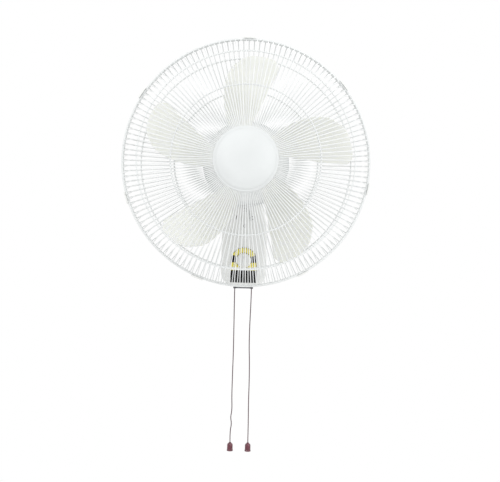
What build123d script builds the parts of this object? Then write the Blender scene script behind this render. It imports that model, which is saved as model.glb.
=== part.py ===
from build123d import *
import math
import os

# Wall mounted fan, millimetres. +Z is up, the fan blows towards -Y and the wall is the plane y = 0.
# The origin is the centre of the wall bracket's back face.

# Guard
guard_dia = 500.0          # over both rim wires
axis_height = 157.0        # fan axis above the bracket's centre
rim_reach = 230.0          # guard's parting plane in front of the wall
rim_wire = 5.0
rim_gap = 0.3              # between the two rim wires
guard_wire = 2.0
guard_ring = 3.0
wire_count = 140           # in each guard
outer_ring_r = 213.0
inner_ring_r = 146.0
front_shoulder_r = 224.0
front_shoulder_depth = 55.0
front_hub_depth = 78.5
hub_ring_r = 62.0
rear_shoulder_r = 228.0
rear_shoulder_depth = 22.0
rear_hub_depth = 29.0
rear_plate_r = 88.0
plate_sheet = 1.6
clip_count = 7
clip_pitch = 50.4          # degrees; the seventh gap, beside the top clip, is the wide one
clip_width = 24.0
clip_wall = 2.2
clip_bite = 1.0            # how far a clip's lips reach over the rim wires
clip_round = 1.8
weld_inset = 0.5           # a wire's end inside the rim wire's middle
plate_lap = 4.0            # how far the rear wires lie on the rear plate
plate_lip = 12.0           # conical edge of the rear plate, parallel to the wires on it
weld_clear = 0.03          # between the wires and the plate under them

# Cap on the front guard
cap_r = 60.6
cap_flange_r = 62.6
cap_depth = 96.0           # its face in front of the parting plane
cap_edge_depth = 86.0
cap_wall = 2.2
cap_plate_thick = 2.5
cap_screw_circle_r = 36.0
cap_screw_r = 1.5
cap_screw_head_r = 3.0
cap_screw_head = 2.0
cap_screw_bite = 5.0       # how deep a screw goes into its boss
cap_boss_r = 4.0
cap_dome_r = 42.0          # the dome's flat part ends here
cap_dome_drop = 4.0
cap_dome_shares = (0.0, 0.35, 0.7, 1.0)
cap_shoulder = 4.0

# Blades
blade_count = 5
blade_phase = 6.5          # degrees, clockwise from the top, seen from the front
blade_thick = 2.4
blade_tip_r = 214.5
blade_root_pitch = 36.0
blade_tip_pitch = 24.0
blade_camber = 6.0
blade_mid_depth = 15.0     # chord centre in front of the parting plane
blade_stations = (-0.086, 0.295, 0.663, 1.045)    # sections along the blade, from hub to tip
blade_half_chord = 75.0    # of the slab that the outline is cut from
blade_chord_shift = 12.0   # slab's middle to the left of the blade's line
blade_root_sinks = (7.0, 4.0)    # the outline's left and right foot start this far inside the hub
blade_left = (-42.0, -56.5, -61.5, -56.0, -38.0, -8.0)    # outline beside the blade's line, going round
blade_left_shares = (0.142, 0.351, 0.581, 0.773, 0.915, 0.994)    # and along it, from hub to tip
blade_tip = (18.0, 33.0, 38.5)
blade_tip_shares = (1.0, 0.975, 0.898)
blade_right = (28.0, 12.0, 0.0)
blade_right_shares = (0.697, 0.419, 0.204)
blade_foot = (-20.0, -6.0)
hub_r = 38.0
hub_front_depth = 46.0
hub_rear_depth = -11.0
hub_wall = 2.6
hub_nose = 6.0             # chamfer of the hub's nose
hub_boss_r = 11.0
hub_boss_back = 14.0       # boss ends this far inside the hub's rear edge
hub_rib_thick = 2.2
hub_rib_short = 4.0        # the ribs end this far before the boss does
hub_rib_sink = 1.0         # a rib starts this far inside the boss
drive_pin_r = 1.5
drive_slot_gap = 0.1
spinner_r = 17.0
spinner_length = 15.0
spinner_skirt = 5.0
spinner_nose = (3.0, 8.0)  # the nose draws in by these radii
spinner_groove_r = 1.6
spinner_grooves = 6

# Motor
shaft_r = 5.0
shaft_end = 4.0            # how far the shaft stands out behind, and reaches short of the nut's nose
shaft_room = 1.0           # between the shaft and the shields' bores
run_clear = 0.05           # radial clearance of a running fit
fit_gap = 0.02             # radial gap of a pressed or screwed fit
thread_core = 0.1          # a screw's hole is this much under its nominal radius
hole_room = 0.2            # a through hole is this much over its screw's radius
face_gap = 0.3             # between solids that move past each other
motor_cover_r = 80.0
cover_wall = 2.5
cover_round = 5.0
motor_split_back = 70.0    # front and rear covers meet this far behind the guard's parting plane
tail_r = 52.0
tail_split_back = 112.0    # the bell ends and the narrow tail begins
tail_end_back = 174.0      # back of the rear cover
bell_straight = 16.0       # straight rim of the bell
bell_bend = (4.0, 10.0)    # first bend: radius drawn in, and depth
bell_cone = (15.0, 6.0)    # second bend, where the steep cone ends: the same
tail_neck = (2.0, 6.0)     # bend between the cone and the tail
tail_bend = (5.0, 7.0)     # first bend of the tail's closed end
tail_round = 18.0
vent_pitch = 8.0
vent_half = 20.0           # half length of the middle vent
vent_step = 3.0            # each vent further out is this much shorter at both ends
vent_width = 3.0
vent_count = 7
shield_r = 66.0
shield_thick = 6.0
shield_gap = 0.2           # between the front cover's floor and the shield
shield_boss = (4.0, 3.0)   # rear shield's boss: wall over the bearing, and height
shield_spacing = 54.0      # between the two end shields' inner faces
stator_r = 56.0
stator_stack = 34.0
rotor_core_r = 30.0
air_gap = 0.4
winding_r = 46.0
winding_size = 12.0
winding_end_gap = 2.0      # between the windings and the shields
bearing_r = 11.0
bearing_width = 8.0
bearing_floor = 3.0        # from the threaded boss' nose to the front bearing
bearing_lip = 1.5
bearing_sink = 0.5         # the rear bearing stands this much before its shield
neck_thread_r = 20.0       # threaded boss that carries the rear guard
thread_end = 4.0           # the boss stands this far out of the nut
guard_nut_r = 33.0
guard_nut_thick = 8.0
guard_nut_notch_r = 3.5
guard_nut_notch_out = 1.2
guard_nut_notches = 8
motor_bolt_r = 2.0
motor_bolt_head_r = 3.4
motor_bolt_head = 3.0
motor_bolt_inset = 0.5     # the stems end this far inside the front shield
motor_bolt_circle_r = 61.0
motor_bolt_count = 4
spacer_r = 4.8

# Neck, tilt and swing
pivot_back = 120.0         # swing and tilt axes behind the guard's parting plane
tilt_drop = 71.0           # tilt axis below the fan axis
tilt_bolt_r = 4.0
tilt_head_r = 7.0
tilt_head = 4.5
tilt_nut_r = 7.5
tilt_nut_thick = 4.5
tilt_end = 5.5             # the bolt ends this far outside the ear
lug_r = 10.0
lug_half = 9.0
ear_thick = 5.0
washer_thick = 0.8
washer_r = 9.5
neck_r = 13.0
neck_floor = 3.0           # under the pin's seat
neck_opening_r = 22.0      # room in the rear cover's underside for the ears, bolt and nut
pin_r = 7.0
pin_seat = 20.0            # how deep the pin sits in the neck
pin_collar_r = 9.5
shelf_drop = 26.0          # underside of the shelf below the fan axis
shelf_thick = 5.0
shelf_half = 23.0
shelf_rear_back = 168.0    # back edge of the shelf behind the guard's parting plane
bracket_plate_thick = 4.0
bracket_plate_drop = 17.0  # top of the bracket's plate below the fan axis
bracket_web = 3.0
bracket_web_run = 10.0
pin_head = 3.0             # the pin's hub stands this much over the shelf
swing_motor_r = 18.0
swing_motor_height = 17.0
crank_back = 30.0          # crank axis behind the swing axis
crank_x = 5.0
crank_throw = 14.6
crank_r = 18.2
crank_thick = 3.0
crank_stub_r = 3.0
crank_pin_r = 2.5
crank_drop = 0.5           # crank disc below the shelf
stud_offset = 21.9         # link stud from the swing axis, 1.5 times the crank's throw
stud_r = 2.2
stud_height = 2.2
stud_tip_r = 3.5
stud_arm_thick = 3.5
link_width = 9.0
link_thick = 2.5
link_gap = 0.4             # between the link and the crank disc, and between the stud and the link

# Base
base_half = 49.5
base_foot_round = 29.0
base_taper_z = 0.0         # above this the sides draw in
base_top_half = 33.0
base_top_drop = 63.0       # base's top below the fan axis
base_top_round = 12.0
base_bottom_z = -98.5
base_depth = 80.0
base_split = 22.0          # rear and front covers meet this far from the wall
base_wall = 2.4
base_round = 9.0
base_inner_chamfer = 5.4
base_slope_drop = 18.0     # the front leans back from this far below the base's top
base_slope_run = 12.0
base_slope_round = 50.0
wall_gap = 0.5             # rear cover's edge off the wall
floor_back = 6.5           # rear cover's floor from the wall
floor_thick = 2.5
boss_r = 4.0
boss_sink = 0.5            # a boss starts this far inside its floor
arm_boss_r = 5.0
post_gap = 0.05            # between the two covers' screw posts
cover_screw_r = 1.6
cover_screw_x = 33.0
cover_screw_low = -66.0
cover_screw_drop = 38.0    # upper cover screws below the base's top
cover_screw_length = 28.0

# Wall bracket
bracket_width = 70.0
bracket_height = 118.0
bracket_sheet = 2.0
bracket_hole_r = 2.75
bracket_hole_dx = 46.0
bracket_hole_dz = 92.0
hook_x = 20.0
hook_width = 10.0
hook_drop = 66.0           # foot of the hooks below the tilt axis
hook_rise = 10.0
hook_gap = 0.4             # beside the hooks in their slots
bracket_round = 8.0

# Support arm
arm_notch_back = 30.0      # the front cover's notch for the arm ends this far from the wall
arm_plate_thick = 5.0
arm_plate_half = 22.0
arm_back = 16.0
arm_plate_drop = 42.0      # foot of the arm's plate below the arm
arm_gusset = (14.0, 10.0)  # depth and height of the arm's gusset on its plate
arm_wall = 4.0
arm_gap = 0.4              # round the arm in the front cover's notch
arm_screw_head_r = 4.0
arm_screw_head = 2.5
arm_screw_r = 2.2
arm_screw_x = 15.0
arm_screw_drops = (34.0, 18.0)
arm_screw_bite = 6.0

# Control panel
panel_half = 28.0
panel_low = -91.0
panel_centre_z = -42.8     # knob axis and centre of the panel's arch
panel_thick = 2.4
panel_proud = 1.2
scale_inner_r = 17.0
scale_border = 2.7
scale_thick = 0.8
scale_half_angle = 62.0
band_top = -51.5
band_low = -62.0
knob_r = 16.0
knob_height = 13.0
knob_skirt = 4.0
knob_ridge_half = 2.4
knob_ridge_height = 5.0
knob_taper = (2.2, 3.2)    # the knob draws in by these radii to its face
knob_edge = 1.0
knob_ridge_short = 4.0     # ridge ends this far inside the knob's rim
knob_ridge_round = 1.2
knob_spindle_r = 3.0
knob_spindle_end = 8.0     # how deep the spindle reaches into the switch
spindle_gap = 0.3
switch_r = 15.0
switch_bush_r = 5.5
switch_depth = 16.0
panel_chamfer = 0.5
seat_gap = 0.1             # round the panel and the cord guide in their seats

# Speed dial
dial_drop = 44.0           # dial axis below the base's top
dial_r = 8.4
dial_thick = 2.6
dial_recess = 1.2
dial_gap = 0.4             # round the dial in its recess
dial_spindle_r = 3.0
dial_spindle_end = 6.0
dial_pointer_half = 1.3
dial_pointer_proud = 1.6
dial_pointer_ends = (3.0, 1.0)
detent_half = 9.0
detent_depth = 9.0

# Pull cords
cord_r = 1.0
cord_sides = 8
cord_bend_share = 0.45     # of the shorter run beside a bend that its arc takes
cord_x = 18.5
cord_y = -62.0
cord_top = -70.0
eyelet_r = 3.2
eyelet_bore_r = 1.9
guide_half_width = 5.5
guide_drop = 6.0           # how far the guide stands out of the base's foot
guide_rise = 0.1           # top of the guide above the base's inner floor
guide_thick = guide_drop + base_wall + guide_rise
guide_nose_r = 3.0
guide_nose = 0.8
bell_r = 6.8
bell_length = 19.0
bell_top_z = -444.5
bell_collar_r = 3.4
bell_shoulder = (5.4, 4.0) # radius and drop
bell_rim = 3.0
bell_hollow_r = 3.0
bell_hollow = 6.0
cord_seat = 3.0            # how deep a cord sits in its bell
pull_switch = (15.0, 22.0, 22.0)
pull_switch_shift = 5.0    # the switch's middle behind the cord
mouth_r = 3.6
mouth_length = 7.0

# Electrical parts in the base
capacitor = (36.0, 18.0, 24.0)
capacitor_z = -42.0
capacitor_round = 3.0
terminal = (34.0, 14.0, 12.0)
terminal_z = -80.0
terminal_count = 4
terminal_hole_r = 1.8
terminal_hole = 5.0
inlet_bore_r = 4.2
inlet_r = 6.0
inlet_flange_r = 7.6
inlet_length = 12.0
inlet_flange = 2.0
inlet_y = -15.7

# Places that follow from the values above
blade_axis_y = -(rim_reach + blade_mid_depth)
pivot_reach = rim_reach - pivot_back
crank_reach = pivot_reach - crank_back
motor_split = rim_reach - motor_split_back
tail_split = rim_reach - tail_split_back
tail_end = rim_reach - tail_end_back
shelf_rear = rim_reach - shelf_rear_back
tilt_height = axis_height - tilt_drop
shelf_bottom = axis_height - shelf_drop
crank_top = shelf_bottom - crank_drop
link_top = crank_top - crank_thick - link_gap
link_low = link_top - link_thick
neck_top = link_low - link_gap - stud_height
base_top_z = axis_height - base_top_drop
base_slope_z = base_top_z - base_slope_drop
arm_low = tilt_height - lug_r
arm_screw_z = [arm_low - drop for drop in arm_screw_drops]
cover_screw_high = base_top_z - cover_screw_drop
hook_z = tilt_height - hook_drop
dial_z = base_top_z - dial_drop
ear_gap = lug_half + washer_thick + 2 * run_clear
ear_half = ear_gap + ear_thick
floor_front = -floor_back - floor_thick
panel_front = -base_depth - panel_proud
cover_back = -base_depth + base_wall
rear_slope = (rear_hub_depth - rear_shoulder_depth) / (rear_shoulder_r - rear_plate_r + plate_lap)
plate_rise = (plate_lip - plate_lap) * rear_slope
plate_front_depth = rear_hub_depth + guard_wire / 2 + weld_clear + plate_rise
cover_face_y = -(rim_reach - plate_front_depth - plate_sheet)


def block(x, y, z):
    """Box between two limits on each axis."""
    size = (x[1] - x[0], y[1] - y[0], z[1] - z[0])
    middle = ((x[0] + x[1]) / 2, (y[0] + y[1]) / 2, (z[0] + z[1]) / 2)
    return Pos(*middle) * Box(*size)


def rod_y(r, y0, y1, x=0.0, z=axis_height):
    return Pos(x, (y0 + y1) / 2, z) * Rot(90, 0, 0) * Cylinder(r, abs(y1 - y0))


def rod_z(r, z0, z1, x=0.0, y=0.0):
    return Pos(x, y, (z0 + z1) / 2) * Cylinder(r, abs(z1 - z0))


def rod_x(r, x0, x1, y=0.0, z=0.0):
    return Pos((x0 + x1) / 2, y, z) * Rot(0, 90, 0) * Cylinder(r, abs(x1 - x0))


def turned(points, x=0.0, z=axis_height):
    """Closed (r, y) outline revolved about an axis along Y."""
    return Pos(x, 0, z) * revolve(make_face(Polyline(*points, close=True)), Axis.Y, 360)


def turned_up(points, x=0.0, y=0.0):
    """Closed (r, z) outline revolved about an axis along Z."""
    face = Plane.XZ * make_face(Polyline(*points, close=True))
    return Pos(x, y, 0) * revolve(face, Axis.Z, 360)


def around_axis(shape, angle):
    """Turn a shape about the fan axis, clockwise seen from the front."""
    return Pos(0, 0, axis_height) * Rot(0, angle, 0) * Pos(0, 0, -axis_height) * shape


def extruded(face, y0, y1):
    """Prism of an XZ outline, drawn with x right and z up, between two depths."""
    return extrude(Plane(origin=(0, y1, 0), x_dir=(1, 0, 0), z_dir=(0, -1, 0)) * face, y1 - y0)


# Guards

def strip(points, width):
    """Bent bar of one width along (r, depth) points, cut square to the depth at its first end."""
    sides = []
    for side in (1, -1):
        line = []
        for i, (r, d) in enumerate(points):
            before = points[max(i - 1, 0)]
            after = points[min(i + 1, len(points) - 1)]
            a0 = math.atan2(d - before[1], r - before[0]) if i else None
            a1 = math.atan2(after[1] - d, after[0] - r) if i < len(points) - 1 else None
            if a0 is None:
                line.append((r - side * width / 2 / math.sin(a1), d))
            elif a1 is None:
                line.append((r, d + side * width / 2 / math.cos(a0)))
            else:
                turn = (a1 - a0) / 2
                middle = (a0 + a1) / 2
                reach = side * width / 2 / math.cos(turn)
                line.append((r - reach * math.sin(middle), d + reach * math.cos(middle)))
        sides.append(line)
    return make_face(Polyline(*sides[0], *sides[1][::-1], close=True))


def guard_wires(profile, front):
    """One radial wire, bent along its profile, and its copies round the axis."""
    face = strip(profile, guard_wire)
    if front:
        face = mirror(face, about=Plane.XZ)
    wire = extrude(Pos(0, -rim_reach, axis_height) * face, guard_wire / 2, both=True)
    step = 360 / wire_count
    start = step / 2 if front else 0
    return [around_axis(wire, start + i * step) for i in range(wire_count)]


def front_profile():
    rim_face = rim_gap / 2 + rim_wire
    return [(guard_dia / 2 - rim_wire / 2 - weld_inset, rim_face),
            (front_shoulder_r, front_shoulder_depth),
            (hub_ring_r + guard_ring / 2, front_hub_depth)]


def rear_profile():
    rim_face = rim_gap / 2 + rim_wire
    return [(guard_dia / 2 - rim_wire / 2 - weld_inset, rim_face),
            (rear_shoulder_r, rear_shoulder_depth),
            (rear_plate_r - plate_lap, rear_hub_depth)]


def front_guard_wires():
    return guard_wires(front_profile(), True)


def rear_guard_wires():
    return guard_wires(rear_profile(), False)


def seated_ring(profile, r, front):
    """Square ring welded inside the wires at one radius."""
    (r0, d0), (r1, d1) = profile[1:]
    slope = (d1 - d0) / (r1 - r0)
    lean = math.atan(slope)
    inward = (guard_wire + guard_ring) / 2
    depth = d0 + (r - r0) * slope - inward / math.cos(lean)
    corners = []
    for u, v in ((-1, -1), (1, -1), (1, 1), (-1, 1)):
        a = u * guard_ring / 2
        b = v * guard_ring / 2
        cr = r + a * math.cos(lean) - b * math.sin(lean)
        cd = depth + a * math.sin(lean) + b * math.cos(lean)
        corners.append((cr, -rim_reach - cd if front else -rim_reach + cd))
    return turned(corners)


def front_guard_rings():
    profile = front_profile()
    hub = square_ring(hub_ring_r, guard_ring, front_hub_depth)
    return [seated_ring(profile, outer_ring_r, True), seated_ring(profile, inner_ring_r, True), hub]


def rear_guard_rings():
    profile = rear_profile()
    return [seated_ring(profile, r, False) for r in (outer_ring_r, inner_ring_r)]


def square_ring(r, size, depth):
    """Ring of square section, centred at a radius and a depth in front of the parting plane."""
    y = -rim_reach - depth
    h = size / 2
    return turned([(r - h, y - h), (r + h, y - h), (r + h, y + h), (r - h, y + h)])


def front_rim():
    return square_ring((guard_dia - rim_wire) / 2, rim_wire, (rim_gap + rim_wire) / 2)


def rear_rim():
    return square_ring((guard_dia - rim_wire) / 2, rim_wire, -(rim_gap + rim_wire) / 2)


def guard_clips():
    """Channel clips that hold the two rim wires together."""
    rim_r = guard_dia / 2
    reach = rim_gap / 2 + rim_wire
    base_z = axis_height + math.sqrt(rim_r ** 2 - (clip_width / 2) ** 2)
    top = axis_height + rim_r + clip_wall
    body = block((-clip_width / 2, clip_width / 2),
                 (-rim_reach - reach - clip_wall, -rim_reach + reach + clip_wall),
                 (base_z - clip_bite, top))
    body = fillet(body.edges().filter_by(Axis.Y).group_by(Axis.Z)[-1], clip_round)
    reach = reach + run_clear
    channel = rod_y(rim_r + run_clear, -rim_reach - reach, -rim_reach + reach)
    clip = body - channel
    return [around_axis(clip, i * clip_pitch) for i in range(clip_count)]


def rear_guard_plate():
    """Dished plate at the rear guard's centre, clamped on the motor's threaded boss."""
    back = cover_face_y
    front = back - plate_sheet
    rise = plate_lip * rear_slope
    flat = rear_plate_r - plate_lip
    bore = neck_thread_r + hole_room
    return turned([(bore, front), (flat, front), (rear_plate_r, front - rise),
                   (rear_plate_r, back - rise), (flat, back), (bore, back)])


def cap_screw_places():
    """Points on the fan axis' plane where the cap's screws sit."""
    turns = [math.radians(60 + i * 120) for i in range(3)]
    r = cap_screw_circle_r
    return [(r * math.sin(a), axis_height + r * math.cos(a)) for a in turns]


def guard_cap():
    """Domed cap over the front guard's hub ring, with three screw bosses inside."""
    seat = -rim_reach - front_hub_depth - guard_ring / 2
    edge = -rim_reach - cap_edge_depth
    face = -rim_reach - cap_depth
    w = cap_wall
    inside = face + cap_dome_drop + w
    dome = [(cap_dome_r * share, face + cap_dome_drop * share ** 2) for share in cap_dome_shares]
    shell = turned([*dome, (cap_r - cap_shoulder, edge), (cap_r, seat - w), (cap_flange_r, seat - w),
                    (cap_flange_r, seat), (cap_r - w, seat), (cap_r - cap_shoulder - w, edge + w),
                    (cap_dome_r, inside), (0, inside)])
    top = seat + guard_ring
    for x, z in cap_screw_places():
        shell = shell + rod_y(cap_boss_r, inside, top, x, z)
        shell = shell - rod_y(cap_screw_r - thread_core, top - cap_screw_bite - 1, top, x, z)
    return shell


def cap_plate():
    """Flat plate behind the hub ring that the cap is screwed to."""
    front = -rim_reach - front_hub_depth + guard_ring / 2
    plate = rod_y(cap_flange_r, front, front + cap_plate_thick)
    for x, z in cap_screw_places():
        plate = plate - rod_y(cap_screw_r + hole_room, front, front + cap_plate_thick, x, z)
    return plate


def cap_screws():
    front = -rim_reach - front_hub_depth + guard_ring / 2
    back = front + cap_plate_thick
    screws = []
    for x, z in cap_screw_places():
        stem = rod_y(cap_screw_r - thread_core - fit_gap, front - cap_screw_bite, back, x, z)
        screws.append(stem + rod_y(cap_screw_head_r, back, back + cap_screw_head, x, z))
    return screws


# Rotor

def blade_section(r, pitch):
    """Thin cambered section square to the blade's length."""
    half = blade_half_chord
    t = blade_thick / 2
    c = blade_camber
    lines = [ThreePointArc((-half, -t), (0, c - t), (half, -t)), Line((half, -t), (half, t)),
             ThreePointArc((half, t), (0, c + t), (-half, t)), Line((-half, t), (-half, -t))]
    return Pos(-blade_chord_shift, 0, r) * Rot(0, 0, pitch) * make_face(lines)


def blade_outline():
    """Front view of a blade that points up, u to the right and v along its length."""
    foot_left = (blade_foot[0], hub_r - blade_root_sinks[0])
    foot_right = (blade_foot[1], hub_r - blade_root_sinks[1])
    sides = ((blade_left, blade_left_shares), (blade_tip, blade_tip_shares), (blade_right, blade_right_shares))
    left, tip, right = ([(u, hub_r + share * (blade_tip_r - hub_r)) for u, share in zip(*side)]
                        for side in sides)
    bulge = Spline(foot_left, *left, tip[0], tangents=[(-0.6, 1), (1, 0)])
    corner = Spline(*tip, tangents=[(1, 0), (-0.25, -1)])
    edge = Spline(tip[-1], *right, foot_right)
    return make_face([bulge, corner, edge, Line(foot_right, foot_left)])


def blade():
    """Twisted and cambered slab, cut to the outline."""
    sections = []
    for share in blade_stations:
        r = hub_r + share * (blade_tip_r - hub_r)
        sections.append(blade_section(r, blade_root_pitch + share * (blade_tip_pitch - blade_root_pitch)))
    slab = Pos(0, blade_axis_y, axis_height) * loft(sections, ruled=True)
    reach = blade_half_chord
    plan = extruded(Pos(0, axis_height) * blade_outline(), blade_axis_y - reach, blade_axis_y + reach)
    return slab & plan


def fan_blades():
    """Moulded five blade fan: hub shell, ribs, boss and blades in one piece."""
    front = -rim_reach - hub_front_depth
    rear = -rim_reach - hub_rear_depth
    w = hub_wall
    nose = hub_nose
    shell = turned([(0, front), (hub_r - nose, front), (hub_r, front + nose), (hub_r, rear), (hub_r - w, rear),
                    (hub_r - w, front + nose + w / 2), (hub_r - nose - w / 2, front + w), (0, front + w)])
    boss_end = rear - hub_boss_back
    body = shell + rod_y(hub_boss_r, front, boss_end)
    rib = block((-hub_rib_thick / 2, hub_rib_thick / 2), (front + w / 2, boss_end - hub_rib_short),
                (axis_height + hub_boss_r - hub_rib_sink, axis_height + hub_r - w / 2))
    for i in range(blade_count):
        body = body + around_axis(rib, blade_phase + i * 360 / blade_count)
    core = rod_y(hub_r - w / 2, front + w, rear)
    one = blade() - core
    for i in range(blade_count):
        body = body + around_axis(one, blade_phase + i * 360 / blade_count)
    body = body - rod_y(shaft_r + fit_gap, front - 1, rear)
    slot_half = drive_pin_r + drive_slot_gap
    slot = block((-hub_boss_r - 1, hub_boss_r + 1), (drive_pin_y() - slot_half, boss_end + 1),
                 (axis_height - slot_half, axis_height + slot_half))
    return body - slot


def shaft():
    hole = rod_x(drive_pin_r + fit_gap, -shaft_r - 1, shaft_r + 1, drive_pin_y(), axis_height)
    return rod_y(shaft_r, shaft_front(), shaft_rear()) - hole


def shaft_front():
    return -rim_reach - hub_front_depth - spinner_length + shaft_end


def shaft_rear():
    return rear_shield_y() + shield_thick + shaft_end


def drive_pin_y():
    return -rim_reach - hub_rear_depth - hub_boss_back - drive_pin_r - 2 * drive_slot_gap


def drive_pin():
    """Cross pin through the shaft that drives the hub's slotted boss."""
    return rod_x(drive_pin_r, -hub_boss_r + 1, hub_boss_r - 1, drive_pin_y(), axis_height)


def spinner():
    """Left hand nut that holds the blades on the shaft."""
    seat = -rim_reach - hub_front_depth
    nose = seat - spinner_length
    in_a, in_b = spinner_nose
    body = turned([(0, seat), (spinner_r, seat), (spinner_r, seat - spinner_skirt),
                   (spinner_r - in_a, nose + in_a), (spinner_r - in_b, nose), (0, nose)])
    body = body - rod_y(shaft_r + fit_gap, shaft_front() - face_gap, seat)
    groove = rod_y(spinner_groove_r, seat + 1, nose - 1, z=axis_height + spinner_r + spinner_groove_r / 3)
    for i in range(spinner_grooves):
        body = body - around_axis(groove, i * 360 / spinner_grooves)
    return body


def rotor_core():
    middle = front_shield_y() + shield_thick + shield_spacing / 2
    y0 = middle - stator_stack / 2
    y1 = middle + stator_stack / 2
    return rod_y(rotor_core_r, y0, y1) - rod_y(shaft_r + fit_gap, y0 - 1, y1 + 1)


# Motor

def front_shield_y():
    return cover_face_y + cover_wall + shield_gap


def rear_shield_y():
    return front_shield_y() + shield_thick + shield_spacing


def thread_nose_y():
    return cover_face_y - plate_sheet - guard_nut_thick - thread_end


def front_shield():
    """Die-cast end shield with the threaded boss for the guard."""
    y = front_shield_y()
    nose = thread_nose_y()
    back = y + shield_thick
    seat = nose + bearing_floor
    body = rod_y(neck_thread_r, nose, y) + rod_y(shield_r, y, back)
    pocket = rod_y(bearing_r, seat, seat + bearing_width + fit_gap)
    bore = rod_y(shaft_r + shaft_room, nose - 1, back + 1)
    relief = rod_y(bearing_r - bearing_lip, seat, back + 1)
    return cut_bolt_holes(body - pocket - bore - relief)


def rear_shield():
    """Rear end shield with the boss round its bearing."""
    y = rear_shield_y()
    back = y + shield_thick
    wall, height = shield_boss
    body = rod_y(shield_r, y, back) + rod_y(bearing_r + wall, back, back + height)
    pocket = rod_y(bearing_r, y - 1, y - bearing_sink + bearing_width)
    bore = rod_y(shaft_r + shaft_room, y - 1, back + height + 1)
    return cut_bolt_holes(body - pocket - bore)


def bolt_places():
    """Centres of the through bolts, evenly round the axis from 45 degrees."""
    step = 360 / motor_bolt_count
    return [around_axis(Pos(0, 0, axis_height + motor_bolt_circle_r), (i + 0.5) * step).position
            for i in range(motor_bolt_count)]


def cut_bolt_holes(body):
    y0 = front_shield_y() - 1
    y1 = rear_shield_y() + shield_thick + 1
    for place in bolt_places():
        body = body - rod_y(motor_bolt_r + thread_core, y0, y1, place.X, place.Z)
    return body


def motor_bolts():
    y0 = front_shield_y()
    y1 = rear_shield_y() + shield_thick
    bolts = []
    for place in bolt_places():
        stem = rod_y(motor_bolt_r, y0 + motor_bolt_inset, y1, place.X, place.Z)
        head = rod_y(motor_bolt_head_r, y1, y1 + motor_bolt_head, place.X, place.Z)
        bolts.append(stem + head)
    return bolts


def bearing(y0):
    """Ball bearing as a plain ring."""
    ring = rod_y(bearing_r, y0, y0 + bearing_width)
    return ring - rod_y(shaft_r + run_clear, y0 - 1, y0 + bearing_width + 1)


def front_bearing():
    return bearing(thread_nose_y() + bearing_floor + fit_gap / 2)


def rear_bearing():
    return bearing(rear_shield_y() - bearing_sink - fit_gap / 2)


def stator():
    middle = front_shield_y() + shield_thick + shield_spacing / 2
    y0 = middle - stator_stack / 2
    y1 = middle + stator_stack / 2
    ring = rod_y(stator_r, y0, y1) - rod_y(rotor_core_r + air_gap, y0 - 1, y1 + 1)
    return ring


def stator_spacers():
    """Four sleeves on the through bolts that hold the stator between the shields."""
    y0 = front_shield_y() + shield_thick
    y1 = rear_shield_y()
    sleeves = []
    for place in bolt_places():
        sleeve = rod_y(spacer_r, y0, y1, place.X, place.Z)
        sleeve = sleeve - rod_y(motor_bolt_r + thread_core, y0 - 1, y1 + 1, place.X, place.Z)
        sleeves.append(sleeve - rod_y(stator_r, y0 - 1, y1 + 1))
    return sleeves


def windings():
    """Coil heads at both ends of the stator stack."""
    middle = front_shield_y() + shield_thick + shield_spacing / 2
    h = stator_stack / 2
    half = winding_size / 2
    length = (shield_spacing - stator_stack) / 2 - winding_end_gap
    rings = []
    for y0, y1 in ((middle - h - length, middle - h), (middle + h, middle + h + length)):
        rings.append(rod_y(winding_r + half, y0, y1) - rod_y(winding_r - half, y0 - 1, y1 + 1))
    return rings


def motor_front_cover():
    """Cup over the motor's front; the guard plate lies on its face."""
    y = cover_face_y
    r = motor_cover_r
    w = cover_wall
    c = cover_round
    bore = neck_thread_r + hole_room
    return turned([(bore, y), (r - c, y), (r, y + c), (r, -motor_split), (r - w, -motor_split),
                   (r - w, y + c + w / 5), (r - c - w / 5, y + w), (bore, y + w)])


def rear_cover_profile(inset):
    """Half outline of the rear cover as (r, y), from its open edge to its closed end."""
    r = motor_cover_r - inset
    t = tail_r - inset
    end = -tail_end - inset
    rim = -motor_split + bell_straight
    return [(r, -motor_split), (r, rim), (r - bell_bend[0], rim + bell_bend[1]),
            (r - bell_cone[0], -tail_split - bell_cone[1]), (t + tail_neck[0], -tail_split),
            (t, -tail_split + tail_neck[1]), (t, -tail_end - tail_round),
            (t - tail_bend[0], end - tail_bend[1]), (t - tail_round, end), (0, end)]


def motor_rear_cover():
    """Bell shaped rear cover that narrows over the swing gear, with vents at its back."""
    outer = rear_cover_profile(0)
    inner = rear_cover_profile(cover_wall)
    shell = turned(outer + inner[::-1])
    shell = shell - rod_z(neck_opening_r, arm_low, shelf_bottom, 0, -pivot_reach)
    for i in range(vent_count):
        place = i - (vent_count - 1) / 2
        z = axis_height + place * vent_pitch
        half = vent_half - abs(place) * vent_step
        shell = shell - block((-half, half), (-tail_end - cover_wall - 1, -tail_end + 1),
                              (z - vent_width / 2, z + vent_width / 2))
    return shell


def guard_nut():
    """Plastic ring nut that clamps the rear guard plate on the threaded boss."""
    back = cover_face_y - plate_sheet
    ring = rod_y(guard_nut_r, back - guard_nut_thick, back)
    ring = ring - rod_y(neck_thread_r + thread_core, back - guard_nut_thick - 1, back + 1)
    notch = rod_y(guard_nut_notch_r, back - guard_nut_thick - 1, back + 1,
                  z=axis_height + guard_nut_r + guard_nut_notch_out)
    for i in range(guard_nut_notches):
        ring = ring - around_axis(notch, i * 360 / guard_nut_notches)
    return ring


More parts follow.
